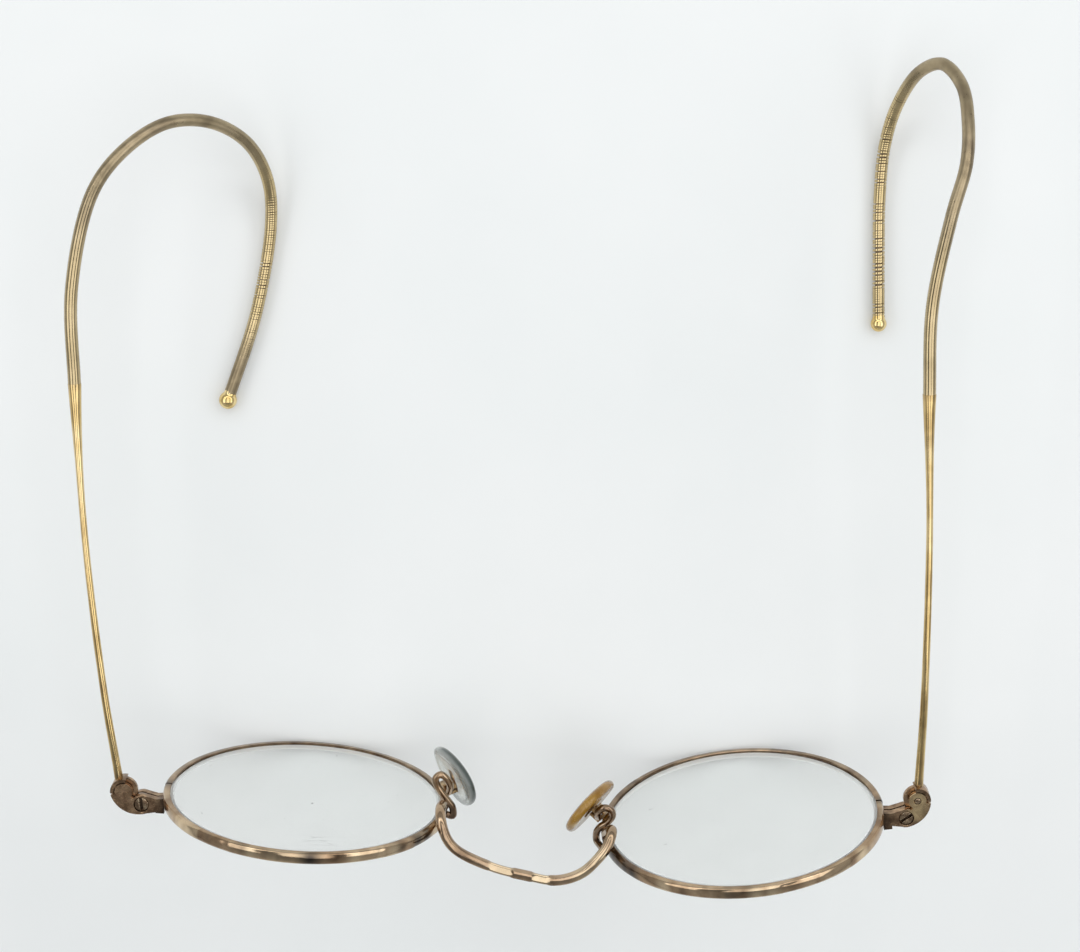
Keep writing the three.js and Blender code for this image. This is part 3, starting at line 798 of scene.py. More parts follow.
def lens_disc(half):
    """A bowed oval disc with a bevelled edge."""
    radii = [LENS_FACE * k / LENS_RINGS for k in range(LENS_RINGS)]
    radii += [LENS_FACE - EDGE_STEP, LENS_FACE]
    front = [(radius, lens_drop(radius) - LENS_HALF) for radius in radii]
    rear = [(radius, lens_drop(radius) + LENS_HALF) for radius in reversed(radii)]
    disc = turned(f"{half.name}_lens_disc", [*front, (LENS_RADIUS, 0), *rear], LENS_STEPS)
    for vertex, value in zip(disc.data.vertices, layer_of(disc, FROST_AND_SHADED_EDGE)):
        value.value = float(vertex.co.xy.length > LENS_FACE - EDGE_STEP / 2)
    disc.data.transform(OVAL)
    return disc


SCRATCH_INWARD = 4
SCRATCH_UP = 11.5
scratch_spot = right.centre - SCRATCH_INWARD * right.outward + SCRATCH_UP * right.up
for half in halves:
    lens = lens_disc(half)
    seat(lens, half.centre, half.outward, half.up, half.back)
    mark(lens, SCRATCHED, [scratch_spot], reach=5.5)
    keep(lens, "front", "lens", lens_glass, f"{half.name}_lens")

# %% [markdown]
# The small fittings are castings and folded scraps. Such a shape is easiest as a few plates joined
# and cut by booleans, then softened with a bevel, because the bright line along the softened edge is
# most of what the eye sees at this size. Smooth shading would bend the light across the large flat
# faces too, so these are shaded flat after the bevel.

# %% Joining, cutting and softening
FLAT_AREA = 0.5
SOFT_ANGLE = math.radians(40)


def settle(piece):
    """Bakes a piece's modifiers into its mesh."""
    view = bpy.context.evaluated_depsgraph_get()
    baked = bpy.data.meshes.new_from_object(piece.evaluated_get(view))
    piece.modifiers.clear()
    piece.data = baked
    return piece


def combine(piece, operation, others):
    """Joins other solids to a piece or cuts them from it, and removes them."""
    for other in others:
        step = piece.modifiers.new(other.name, "BOOLEAN")
        step.operation = operation
        step.solver = "EXACT"
        step.object = other
    settle(piece)
    for other in others:
        bpy.data.objects.remove(other)
    return piece


def soften(piece, width):
    """Rounds the sharp edges of a piece by a small width, and keeps its large faces flat."""
    step = piece.modifiers.new("soften", "BEVEL")
    step.width = width
    step.segments = 2
    step.limit_method = "ANGLE"
    step.angle_limit = SOFT_ANGLE
    settle(piece)
    piece.data.shade_smooth()
    piece.data.set_sharp_from_angle(angle=SHARP)
    for face in piece.data.polygons:
        face.use_smooth = face.area < FLAT_AREA
    return piece


print("helpers: settle, combine, soften")

# %% [markdown]
# The end piece is a small casting in two halves, one above the rim's split and one below. Its outline
# is drawn from discs and from arcs that touch, as a pattern maker would with compasses.

# %% Discs and arcs
ROUND_STEPS = 48
ARC_STEPS = 24


def disc(name, radius, place, low, high):
    """A round plate at a place."""
    x, y = place
    return skin(name, [circle(radius, ROUND_STEPS, height, x, y) for height in (low, high)])


def arc(place, radius, start, end):
    """Points of an arc, in degrees."""
    turns = [math.radians(start + (end - start) * k / ARC_STEPS) for k in range(ARC_STEPS + 1)]
    x, y = place
    return [(x + radius * math.cos(turn), y + radius * math.sin(turn)) for turn in turns]


print("a disc has", ROUND_STEPS, "sides and an arc", ARC_STEPS, "steps")

# %% [markdown]
# A collar lies against the rim, a neck comes off it and widens to the round body that takes the screw,
# and a shoulder leads round to the boss of the hinge. The shoulder is one wide arc that touches the
# discs of both from the inside, so its centre is where two circles about theirs would meet.

# %% Outlines of an end piece
BODY_RADIUS = 1.45
BOSS_RADIUS = 1.88
FRONT_RADIUS = 4
NECK_HALF = 1.0
COLLAR_FRONT = -3.4
COLLAR_STEP = 0.15
COLLAR_END = RIM_REACH + 0.95
COLLAR_FOOT = RIM_REACH - 0.25


def shoulder_outline(half):
    """Front edge of the body: one wide arc that hugs the screw's disc and the hinge's boss."""
    screw_x, screw_y = half.screw
    boss_x, boss_y = half.pivot
    along = math.atan2(boss_y - screw_y, boss_x - screw_x)
    gap = math.hypot(boss_x - screw_x, boss_y - screw_y)
    to_body = FRONT_RADIUS - BODY_RADIUS
    to_boss = FRONT_RADIUS - BOSS_RADIUS
    ahead = (to_body**2 - to_boss**2 + gap**2) / (2 * gap)
    behind = math.sqrt(to_body**2 - ahead**2)
    x = screw_x + ahead * math.cos(along) - behind * math.sin(along)
    y = screw_y + ahead * math.sin(along) + behind * math.cos(along)
    line = math.degrees(along)
    start = math.degrees(math.atan2(screw_y - y, screw_x - x)) + 360
    end = math.degrees(math.atan2(boss_y - y, boss_x - x)) + 360
    body = arc(half.screw, BODY_RADIUS, line + 180, start)
    wide = arc((x, y), FRONT_RADIUS, start, end)
    boss = arc(half.pivot, BOSS_RADIUS, end, line + 360)
    return body + wide[1:-1] + boss


def neck_outline(half):
    """Collar against the rim, then a neck that widens to the screw's disc."""
    out, forward = half.screw
    back = forward + NECK_HALF
    return [
        (COLLAR_FOOT, COLLAR_FRONT), (COLLAR_END, COLLAR_FRONT), (COLLAR_END, forward - NECK_HALF),
        (out, forward - BODY_RADIUS), (out, forward + BODY_RADIUS), (COLLAR_END, back),
        (COLLAR_FOOT, back + COLLAR_STEP),
    ]


print("shoulder of the right end piece has", len(shoulder_outline(right)), "points")

# %% [markdown]
# The plates are joined, and then a swept path is cut away in which the wall of the temple's joint
# turns, with room for its leaf under the tongue, and the holes for the pin and the screw. Only the
# upper half has a seat for the screw's head.

# %% End pieces
PLATE_LOW = 0.15
PLATE_HIGH = 1.15
THROUGH = (-PLATE_HIGH, 2 * PLATE_HIGH)
TONGUE_RADIUS = 1.25
SWEEP_RADIUS = 2.05
SWEEP_START = -19
SWEEP_END = 176
LEAF_ROOM = 0.45
PIN_RADIUS = 0.4
SCREW_HOLE = 0.6
HEAD_SEAT = 1.1
SEAT_FLOOR = 0.55
collar_row = (-3.4, -2.6, -1.8, -1, -0.2)


def endpiece_half(half, label, level):
    """Upper or lower half of an end piece, cut for its screw, its pin and the temple's joint."""
    plate = disc(f"{half.name}_endpiece_{label}", BODY_RADIUS, half.screw, PLATE_LOW, PLATE_HIGH)
    parts = [
        prism("shoulder", shoulder_outline(half), PLATE_LOW, PLATE_HIGH),
        prism("neck", neck_outline(half), PLATE_LOW, PLATE_HIGH),
        disc("tongue", TONGUE_RADIUS, half.pivot, PLATE_LOW, PLATE_HIGH),
    ]
    combine(plate, "UNION", parts)
    swept = arc(half.pivot, SWEEP_RADIUS, SWEEP_START, SWEEP_END)
    swept += arc(half.pivot, TONGUE_RADIUS, SWEEP_END, SWEEP_START)
    tools = [
        prism("sweep", swept, *THROUGH),
        disc("leaf_room", SWEEP_RADIUS, half.pivot, -PLATE_HIGH, LEAF_ROOM),
        disc("pin_hole", PIN_RADIUS + half.pin_gap, half.pivot, *THROUGH),
        disc("screw_hole", SCREW_HOLE, half.screw, *THROUGH),
    ]
    if level > 0:
        tools.append(disc("head_seat", HEAD_SEAT, half.screw, SEAT_FLOOR, 2 * PLATE_HIGH))
    combine(plate, "DIFFERENCE", tools)
    soften(plate, width=0.09)
    seat(plate, half.centre, half.outward, half.back, level * half.up)
    collar = half.centre + COLLAR_FOOT * half.outward + level * PLATE_HIGH * half.up
    mark(plate, STAIN_AND_SHADE, [collar + back * half.back for back in collar_row], reach=1.9)
    tongue = half.hinge + level * PLATE_HIGH * half.up
    mark(plate, GILT, [tongue, tongue - BOSS_RADIUS * half.back], reach=2.2, amount=half.tongue_gilt)
    return plate


for half in halves:
    upper = endpiece_half(half, "top", 1)
    keep(upper, "front", "endpiece_bronze", endpiece_bronze, f"{half.name}_endpiece_upper")
    lower = endpiece_half(half, "base", -1)
    keep(lower, "front", "endpiece_bronze", endpiece_bronze, f"{half.name}_endpiece_lower")

# %% [markdown]
# The screw's slotted head is sunk level with the end piece, and the hinge pin is a plain rivet with
# its ends peened to a low dome. Both are turned, and the slot is then sawn through the head.

# %% Shapes of a screw and a pin
HEAD_RADIUS = 1.0
HEAD_FLOOR = 0.65
SHANK_RADIUS = 0.5
SCREW_CORNER = 0.1
HEAD_ROUNDING = 0.08
HEAD_DOME = 0.02
SLOT_HALF = 0.22
SLOT_FLOOR = 0.7


def slotted_screw(half):
    """A screw with a domed head and a sawn slot."""
    profile = [
        (0, -PLATE_HIGH), (SHANK_RADIUS - SCREW_CORNER, -PLATE_HIGH),
        (SHANK_RADIUS, -PLATE_HIGH + SCREW_CORNER), (SHANK_RADIUS, HEAD_FLOOR),
        (HEAD_RADIUS, HEAD_FLOOR), (HEAD_RADIUS, PLATE_HIGH - SCREW_CORNER),
        (HEAD_RADIUS - HEAD_ROUNDING, PLATE_HIGH - HEAD_DOME), (HEAD_RADIUS / 2, PLATE_HIGH),
        (0, PLATE_HIGH),
    ]
    screw = turned(f"{half.name}_rim_screw_slotted", profile, ROUND_STEPS)
    reach = 2 * HEAD_RADIUS
    corners = [(-reach, -SLOT_HALF), (reach, -SLOT_HALF), (reach, SLOT_HALF), (-reach, SLOT_HALF)]
    saw = prism("saw", corners, SLOT_FLOOR, 2 * PLATE_HIGH)
    saw.data.transform(Matrix.Rotation(half.slot_turn, 4, "Z"))
    combine(screw, "DIFFERENCE", [saw])
    soften(screw, width=0.03)
    return screw


dome_turns = [math.radians(degrees) for degrees in (0, 30, 60, 90)]


def peened_pin(half):
    """A hinge rivet that is flush where it is peened tight and domed where it has worked loose."""
    dome = half.pin_gap / 2
    rise = [(PIN_RADIUS * math.sin(turn), PLATE_HIGH + dome * math.cos(turn)) for turn in dome_turns]
    fall = [(radius, -height) for radius, height in rise]
    return turned(f"{half.name}_hinge_rivet", [*fall, *reversed(rise)], ROUND_STEPS)


print("screw head is", 2 * HEAD_RADIUS, "mm across and its slot", 2 * SLOT_HALF, "mm wide")

# %% [markdown]
# The floor of the slot and a thin ring round the sunk head are darkened, and that is what makes a screw
# read as a screw from a distance. The left pin has worked loose and been rubbed to its own colour, while
# the right one is flush and has the brown of its end piece.

# %% Screws and pins
head_turns = range(0, 360, 15)
slot_row = (-1, -0.5, 0, 0.5, 1)


def turn_about(half, place, radius, degrees):
    """A place on a circle level with the top of an end piece."""
    turn = math.radians(degrees)
    across = math.cos(turn) * half.outward + math.sin(turn) * half.back
    return place + radius * across + PLATE_HIGH * half.up


pin_finish = {"right": endpiece_bronze, "left": screw_steel}
for half in halves:
    screw_place = half.centre + half.screw[0] * half.outward + half.screw[1] * half.back
    screw = slotted_screw(half)
    seat(screw, screw_place, half.outward, half.back, half.up)
    # darker ring round the sunk head and along the floor of the slot
    head_edge = [turn_about(half, screw_place, HEAD_RADIUS, turn) for turn in head_turns]
    mark(screw, STAIN_AND_SHADE, head_edge, reach=0.2)
    along_slot = math.cos(half.slot_turn) * half.outward + math.sin(half.slot_turn) * half.back
    slot_floor = screw_place + SLOT_FLOOR * half.up
    mark(screw, STAIN_AND_SHADE, [slot_floor + distance * along_slot for distance in slot_row], reach=0.6)
    keep(screw, "front", "screw", screw_steel, f"{half.name}_rim_screw")
    pin = peened_pin(half)
    seat(pin, half.hinge, half.outward, half.back, half.up)
    keep(pin, "front", "screw", pin_finish[half.name], f"{half.name}_hinge_pin")

# %% [markdown]
# The temple turns on a leaf that sits between the tongues of the end piece, and a curved wall on the
# leaf's rim meets the end piece at the end of the swing. One disc, one curved wall and one hole.

# %% Hinge knuckles
LEAF_HALF = 0.3
WALL_INNER = 1.4
WALL_START = -11
WALL_END = 98
BORE_PLAY = 0.05


def hinge_knuckle(half):
    """Leaf and stop wall on the end of a temple."""
    knuckle = disc(f"{half.name}_hinge_knuckle", BOSS_RADIUS, (0, 0), -LEAF_HALF, LEAF_HALF)
    curve = arc((0, 0), BOSS_RADIUS, WALL_START, WALL_END)
    curve += arc((0, 0), WALL_INNER, WALL_END, WALL_START)
    combine(knuckle, "UNION", [prism("wall", curve, -PLATE_HIGH, PLATE_HIGH)])
    bore = disc("bore", PIN_RADIUS + BORE_PLAY, (0, 0), -PLATE_HIGH, PLATE_HIGH)
    combine(knuckle, "DIFFERENCE", [bore])
    soften(knuckle, width=0.08)
    return knuckle


for half in halves:
    knuckle = hinge_knuckle(half)
    seat(knuckle, half.hinge, half.outward, half.back, half.up)
    root = half.hinge + BOSS_RADIUS * half.back
    heights = (-PLATE_HIGH, 0, PLATE_HIGH)
    mark(knuckle, STAIN_AND_SHADE, [root + height * half.up for height in heights], reach=1.2, amount=0.4)
    body = f"{half.name}_temple"
    keep(knuckle, body, "endpiece_bronze", endpiece_bronze, f"{half.name}_temple_joint")

# %% [markdown]
# Everything else on the pair is bent wire. A wire needs a centre line through its bends, a way to
# measure along it and a section to carry. The line is a spline of the centripetal kind, which passes
# through every bend without loops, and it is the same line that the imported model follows. One of
# Blender's own curves would do for a plain wire, but not for a section that changes along the way.

# %% A line through bends
def spline_point(before, start, end, after, share):
    """A point between start and end on a centripetal spline through four bends."""
    first = math.sqrt((start - before).length)
    middle = math.sqrt((end - start).length)
    last = math.sqrt((after - end).length)
    leave = (start - before) / first - (end - before) / (first + middle) + (end - start) / middle
    arrive = (end - start) / middle - (after - start) / (middle + last) + (after - end) / last
    leave = leave * middle
    arrive = arrive * middle
    square = 3 * (end - start) - 2 * leave - arrive
    cube = 2 * (start - end) + leave + arrive
    return start + leave * share + square * share**2 + cube * share**3


print("helper: spline_point")

# %% [markdown]
# A route is that line as a row of dots, measured along its length. At any distance it gives the point
# there and three directions: ahead, to the side and across. The side is carried on from one station
# to the next, so that a wire doesn't twist where the line turns.

# %% Routes
DOTS = 40
HEADING_STEP = 0.1


class Route:
    """A line of dots, measured along its length."""

    def __init__(self, dots):
        self.dots = dots
        self.lengths = [0.0]
        for start, end in zip(dots, dots[1:]):
            self.lengths.append(self.lengths[-1] + (end - start).length)
        self.length = self.lengths[-1]

    def at(self, distance):
        """The point at a distance from the start, or straight on beyond either end."""
        k = bisect.bisect_right(self.lengths, distance) - 1
        k = min(max(k, 0), len(self.dots) - 2)
        share = (distance - self.lengths[k]) / (self.lengths[k + 1] - self.lengths[k])
        return self.dots[k].lerp(self.dots[k + 1], share)

    def heading(self, distance):
        """The direction of the line at a distance."""
        return (self.at(distance + HEADING_STEP) - self.at(distance - HEADING_STEP)).normalized()

    def stations(self, distances):
        """Points with a heading and two directions across that are carried along without twist."""
        side = sky
        made = []
        for distance in distances:
            ahead = self.heading(distance)
            side = (side - side.dot(ahead) * ahead).normalized()
            made.append((self.at(distance), ahead, side, ahead.cross(side)))
        return made


def bent(bends):
    """A smooth route through bends."""
    points = [Vector(bend) for bend in bends]
    line = [2 * points[0] - points[1], *points, 2 * points[-1] - points[-2]]
    dots = []
    for stretch in zip(line, line[1:], line[2:], line[3:]):
        dots += [spline_point(*stretch, k / DOTS) for k in range(DOTS)]
    return Route([*dots, points[-1]])


print("each stretch of a route between two bends has", DOTS, "dots")

# %% [markdown]
# A wire is a section carried along a route. The section starts round and can be made flatter on four
# sides by one number, the power of a superellipse: 2 is a circle and higher powers are squarer.

# %% Wires
WIRE_SIDES = 24
ROUND = 2.0


def stops(start, end, pace):
    """Even distances from a start to an end, about one pace apart."""
    steps = math.ceil((end - start) / pace)
    return [start + (end - start) * k / steps for k in range(steps + 1)]


def wire(name, route, distances, sections):
    """A wire along a route, with the points across it given at each distance."""
    rings = []
    for section, (point, ahead, side, across) in zip(sections, route.stations(distances)):
        rings.append([point + x * side + y * across for x, y in section])
    return skin(name, rings)


def wire_section(radius, squareness=ROUND, twist=0.0):
    """Points across a wire: round at 2, with flatter sides above that, never beyond the radius."""
    points = []
    for k in range(WIRE_SIDES):
        turn = math.tau * k / WIRE_SIDES
        across, rise = abs(math.cos(turn)), abs(math.sin(turn))
        reach = radius / 2 ** (1 / ROUND - 1 / squareness)
        reach = min(radius, reach / (across**squareness + rise**squareness) ** (1 / squareness))
        points.append((reach * math.cos(turn + twist), reach * math.sin(turn + twist)))
    return points


print("a wire has", WIRE_SIDES, "sides")

# %% [markdown]
# The bridge is one wire. Each end is soldered to the back of a rim, curls up and forward beside it and
# runs over the nose in a low crest. Its bends are given beside each rim and then over the nose, and
# the whole line is eased, because stiff wire never turns as sharply as a row of points does.

# %% Route of the bridge
BRIDGE_EASE = 1.4
EASE_PACE = 0.2
EASE_DOTS = 8
bridge_ends = {
    "right": [(-0.7, 1.75, 2.4), (-0.85, 2.3, 3.6), (-0.95, 2.5, 4.8), (-0.9, 1.9, 6.3), (-0.4, 0.5, 7.5)],
    "left": [
        (-0.9, 1.6, 2.4), (-1.3, 2.5, 3.5), (-1.6, 3.4, 4.7), (-1.6, 3.6, 5.8), (-1.1, 2.6, 6.7),
        (-0.25, 1.4, 7.2),
    ],
}
brow_bends = {"right": [(-9.8, -3.4, 27.2)], "left": [(10.5, -4.0, 27.2), (8.6, -6.1, 27.4)]}
crest_bends = [(-4, -5.8, 28), (0.6, -6.6, 28.4), (4.8, -7.3, 28)]


def eased(route, reach):
    """The same route with its bends eased, each dot averaged over a reach to either side."""
    dots = []
    for distance in stops(0, route.length, EASE_PACE):
        near = min(reach, distance, route.length - distance)
        around = [route.at(distance + near * k / EASE_DOTS) for k in range(-EASE_DOTS, EASE_DOTS + 1)]
        dots.append(sum(around, Vector()) / len(around))
    return Route(dots)


def bridge_side(half):
    """Bends of the bridge beside one rim, from its end to its brow."""
    beside = [half.beside_rim(*bend) for bend in bridge_ends[half.name]]
    return beside + [front_middle + Vector(bend) for bend in brow_bends[half.name]]


crest = [front_middle + Vector(bend) for bend in crest_bends]
bridge_route = eased(bent([*bridge_side(right), *crest, *reversed(bridge_side(left))]), BRIDGE_EASE)
print("bridge is", round(bridge_route.length, 1), "mm long")

# %% [markdown]
# The crest was squeezed flat by flat in the bending pliers, so its section goes from round at the ends
# to flat-sided in the middle and turns a little from one flat to the next. It is those flats that
# flash in the light. They are listed one by one, each with the millimetre where it starts, its turn in
# degrees and the share of gilt that is left on it.

# %% Bridge
BRIDGE_RADIUS = 0.76
BRIDGE_SINK = 0.5
BRIDGE_PACE = 0.2
CREST_SQUARE = 2.2
FLAT_FADE = 0.5
crest_flats = [
    (0.0, 0, 0.0), (10.5, 4, 0.0), (14.2, -14, 0.4), (17.6, 12, 0.0), (20.4, -12, 0.5), (22.8, 12, 0.0),
    (29.0, 4, 0.1),
]


def crest_share(distance):
    """How far the section has gone from round to flat-sided at a distance along the bridge."""
    return math.sin(math.pi * min(max(distance / bridge_route.length, 0), 1)) ** 2


def crest_flat(distance):
    """Turn in degrees and gilt of the flat at a distance, with a short fade from the flat before."""
    number = bisect.bisect_right([start for start, turn, gilt in crest_flats], max(distance, 0)) - 1
    start, turn, gilt = crest_flats[number]
    turn_before, gilt_before = crest_flats[max(number - 1, 0)][1:]
    share = min((distance - start) / FLAT_FADE, 1)
    return turn_before + (turn - turn_before) * share, gilt_before + (gilt - gilt_before) * share


bridge_stops = stops(-BRIDGE_SINK, bridge_route.length + BRIDGE_SINK, BRIDGE_PACE)
bridge_sections = []
for distance in bridge_stops:
    share = crest_share(distance)
    twist = math.radians(crest_flat(distance)[0])
    bridge_sections.append(wire_section(BRIDGE_RADIUS, ROUND + CREST_SQUARE * share, twist))
bridge = wire("bridge_wire", bridge_route, bridge_stops, bridge_sections)
seat_here(bridge)
for k, value in enumerate(layer_of(bridge, GILT)):
    value.value = crest_flat(bridge_stops[k // WIRE_SIDES])[1]
mark(bridge, STAIN_AND_SHADE, [half.beside_rim(*bridge_ends[half.name][0]) for half in halves], reach=1.4)
mark(bridge, GILT, [front_middle + Vector(bend) for bend in brow_bends["left"]], reach=3.2, amount=0.45)
keep(bridge, "front", "bridge_gold", bridge_gold, "bridge")

# %% [markdown]
# A pad arm is soldered to the rim's nose side, swings back across it in an S, turns over in a tight
# loop and comes down to the top of the pad's clevis. It is bent wire again, in a thinner gauge, and
# the heat of the soldering left its foot dark.

# %% Pad arms
ARM_RADIUS = 0.5
arm_bends = {
    "right": [
        (0.75, -0.6, 0.2), (0.6, 0.8, 0.4), (0, 1.7, 0.6), (-0.9, 2.9, 0.9), (-1.8, 4.3, 1.1),
        (-2, 5.3, 1.2), (-1.4, 5.9, 1.2), (-0.6, 5.4, 1), (0, 4.3, 0.5), (0.1, 3.4, -0.2),
        (0, 2.8, -0.7),
    ],
    "left": [
        (0.75, -0.7, 0.2), (0.6, 0.7, 0.4), (0, 1.6, 0.6), (-1.1, 2.4, 0.9), (-1.9, 3.5, 1.1),
        (-1.7, 4.5, 1.2), (-0.9, 4.9, 1.2), (-0.1, 4.3, 0.8), (0.2, 3.3, 0), (0.2, 2.6, -0.7),
    ],
}
arm_feet = {"right": [(-0.4, -0.45, 0)], "left": [(-0.1, -0.55, 3.4), (0.3, -0.7, 1.9)]}
ARM_SINK = 0.45
ARM_PACE = 0.15
ARM_REACH = 1.5
FOOT_BENDS = 3

for half in halves:
    bends = [half.beside_rim(*bend) for bend in (*arm_feet[half.name], *arm_bends[half.name])]
    arm_route = bent(bends)
    arm_stops = stops(0, arm_route.length + ARM_SINK, ARM_PACE)
    arm_sections = [wire_section(ARM_RADIUS)] * len(arm_stops)
    arm = wire(f"{half.name}_arm_wire", arm_route, arm_stops, arm_sections)
    seat_here(arm)
    mark(arm, STAIN_AND_SHADE, bends[:FOOT_BENDS], ARM_REACH)
    mark(arm, STAIN_AND_SHADE, bends, ARM_REACH, amount=half.arm_stain)
    keep(arm, "front", "bridge_gold", bridge_gold, f"{half.name}_pad_arm")

# %% [markdown]
# The clevis is a folded scrap of brass with two cheeks, and the pad's tab sits between them on a
# rivet, so that the pad can rock to the slope of the nose. It is a block with a room cut into it. It
# is tiny, but the dark gap beside the tab is what makes the fitting read as a joint.

# %% Clevis
CHEEK_OUT = 0.9
CLEVIS_FRONT = 0.5
CLEVIS_BACK = 1.225
CLEVIS_HALF = 1.0
ROOM_HALF = 0.5
ROOM_BACK = 0.825


def box_outline(x_low, y_low, x_high, y_high):
    """Corners of a rectangle."""
    return [(x_low, y_low), (x_high, y_low), (x_high, y_high), (x_low, y_high)]


def pad_clevis(half):
    """Two cheeks and a floor, with a bore for the rivet."""
    whole = box_outline(-CHEEK_OUT, -CLEVIS_BACK, CHEEK_OUT, CLEVIS_FRONT)
    clevis = prism(f"{half.name}_pad_clevis", whole, -CLEVIS_HALF, CLEVIS_HALF)
    room = box_outline(-ROOM_HALF, -ROOM_BACK, ROOM_HALF, 2 * CLEVIS_FRONT)
    combine(clevis, "DIFFERENCE", [prism("room", room, -2 * CLEVIS_HALF, 2 * CLEVIS_HALF)])
    return soften(clevis, width=0.12)


print("room between the cheeks is", 2 * ROOM_HALF, "mm wide")

# %% [markdown]
# The tab is a short stem with a flat shoe that spreads its hold on the back of the pad. The rivet goes
# through both cheeks and shows a low domed head on either side. It is turned from half a profile and
# the same half upside down.

# %% Tab and rivet
TAB_HALF = 0.35
TAB_FRONT = 0.62
TAB_BACK = 0.45
TAB_RISE = 0.75
SHOE_LONG = 1.7
SHOE_RISE = 0.55
SHOE_FRONT = 0.86
SHOE_OVERLAP = 0.1
RIVET_RADIUS = 0.3
RIVET_STEPS = 24
rivet_dome = [(0, 0.08), (0.18, 0.07), (RIVET_RADIUS, 0)]


def pad_tab(half):
    """Tab and shoe behind the pad."""
    stem = box_outline(-TAB_HALF, -TAB_BACK, TAB_HALF, TAB_FRONT + SHOE_OVERLAP)
    tab = prism(f"{half.name}_pad_tab", stem, -TAB_RISE, TAB_RISE)
    middle = half.pad_shift / 2
    shoe = box_outline(middle - SHOE_LONG, TAB_FRONT, middle + SHOE_LONG, SHOE_FRONT)
    combine(tab, "UNION", [prism("shoe", shoe, -SHOE_RISE, SHOE_RISE)])
    return soften(tab, width=0.08)


def pad_rivet(half):
    """A rivet with low domed heads on the outside of the cheeks."""
    rise = [(radius, CHEEK_OUT + height) for radius, height in rivet_dome]
    fall = [(radius, -height) for radius, height in rise]
    return turned(f"{half.name}_pad_rivet", [*fall, *reversed(rise)], RIVET_STEPS)


print("the shoe is", 2 * SHOE_LONG, "mm long")

# %% [markdown]
# Clevis and rivet stay with the front. The tab rides with its pad, because it is fixed to the pad's
# back and turns on the rivet when the pad rocks.

# %% Pad fittings
for half in halves:
    clevis = seat(pad_clevis(half), half.pad_pin, half.pad_back, half.pad_nose, half.pad_up)
    keep(clevis, "front", "pad_mount", mount_brown, f"{half.name}_pad_box")
    rivet = seat(pad_rivet(half), half.pad_pin, half.pad_nose, half.pad_up, half.pad_back)
    keep(rivet, "front", "screw", screw_steel, f"{half.name}_pad_pin")
    tab = seat(pad_tab(half), half.pad_pin, half.pad_back, half.pad_nose, half.pad_up)
    keep(tab, f"{half.name}_nose_pad", "pad_mount", mount_brown, f"{half.name}_pad_stud")

# %% [markdown]
# A nose pad is a small oval of plastic with a rounded edge, pressed so that it bows towards the nose.
# It is grown from rings of one oval: across the back, round the edge and over the front. Each point is
# pushed back by its distance from the pin, so the bow is deepest where the pad reaches furthest, and
# the back stays clear of the clevis.

# %% Shape of a nose pad
PAD_HALF_WIDE = 4.5
PAD_HALF_HIGH = 5.75
PAD_BACK = 0.85
PAD_THICK = 1.5
PAD_BOW_HIGH = 0.4
PAD_STEPS = 64
pad_profile = [
    (0.0, 0.0), (0.3, 0.0), (0.6, 0.01), (0.8, 0.03), (0.9, 0.1), (0.96, 0.25), (0.99, 0.42),
    (1.0, 0.6), (0.985, 0.78), (0.95, 0.9), (0.88, 0.97), (0.75, 1.0), (0.5, 1.0), (0.25, 1.0),
    (0.0, 1.0),
]


def pad_oval(half, share, depth):
    """One ring of the pad, at a share of its outline and a share of its thickness."""
    ring = []
    for k in range(PAD_STEPS):
        turn = math.tau * k / PAD_STEPS
        back = half.pad_shift + PAD_HALF_WIDE * share * math.cos(turn)
        rise = share * math.sin(turn)
        bow = half.pad_bow * (back / PAD_HALF_WIDE) ** 2 + PAD_BOW_HIGH * rise**2
        ring.append(Vector((back, PAD_BACK + PAD_THICK * depth - bow, PAD_HALF_HIGH * rise)))
    return ring


print("a pad is", 2 * PAD_HALF_WIDE, "by", 2 * PAD_HALF_HIGH, "mm")

# %% [markdown]
# The right pad is clear and grey, the left one amber. A clear pad looks dark along the edge, where the
# light has to cross the most plastic, so that edge is painted dark as shade, and the amber one has a pale
# streak on its arm side, partly creamy plastic and partly a painted highlight. Both are marked before the
# pads take their finish. Each pad is a body of its own, so that it can rock.

# %% Nose pads
DARK_DEPTH = 0.8
DARK_STEPS = PAD_STEPS * 2 // 3
PALE_AHEAD = 1.6
PALE_DEPTH = 0.2
pale_row = (1, 3, 4.5)


def upper_edge(half):
    """Places along the upper and front edge of a pad, where painted shade stands for the dark look of its
    thickness from above.
    """
    spots = []
    for back, nose, up in pad_oval(half, 1.0, DARK_DEPTH)[:DARK_STEPS]:
        spots.append(half.pad_pin + back * half.pad_back + nose * half.pad_nose + up * half.pad_up)
    return spots


pad_looks = {"right": pad_grey, "left": pad_amber}
for half in halves:
    rings = [pad_oval(half, share, depth) for share, depth in pad_profile]
    pad = skin(f"{half.name}_pad_oval", rings)
    seat(pad, half.pad_pin, half.pad_back, half.pad_nose, half.pad_up)
    # painted shade: the grey pad's upper and front edge is darkened
    mark(pad, FROST_AND_SHADED_EDGE, upper_edge(half), reach=1.7)
    # pale streak on the arm side: partly creamy plastic, partly a painted highlight
    pale_place = half.pad_pin + (half.pad_shift - PALE_AHEAD) * half.pad_back
    pale_place += (PAD_BACK - PALE_DEPTH) * half.pad_nose
    mark(pad, PALE_AND_SHEEN, [pale_place + rise * half.pad_up for rise in pale_row], reach=1.2)
    body = f"{half.name}_nose_pad"
    keep(pad, body, f"{half.name}_pad", pad_looks[half.name], f"{half.name}_pad")

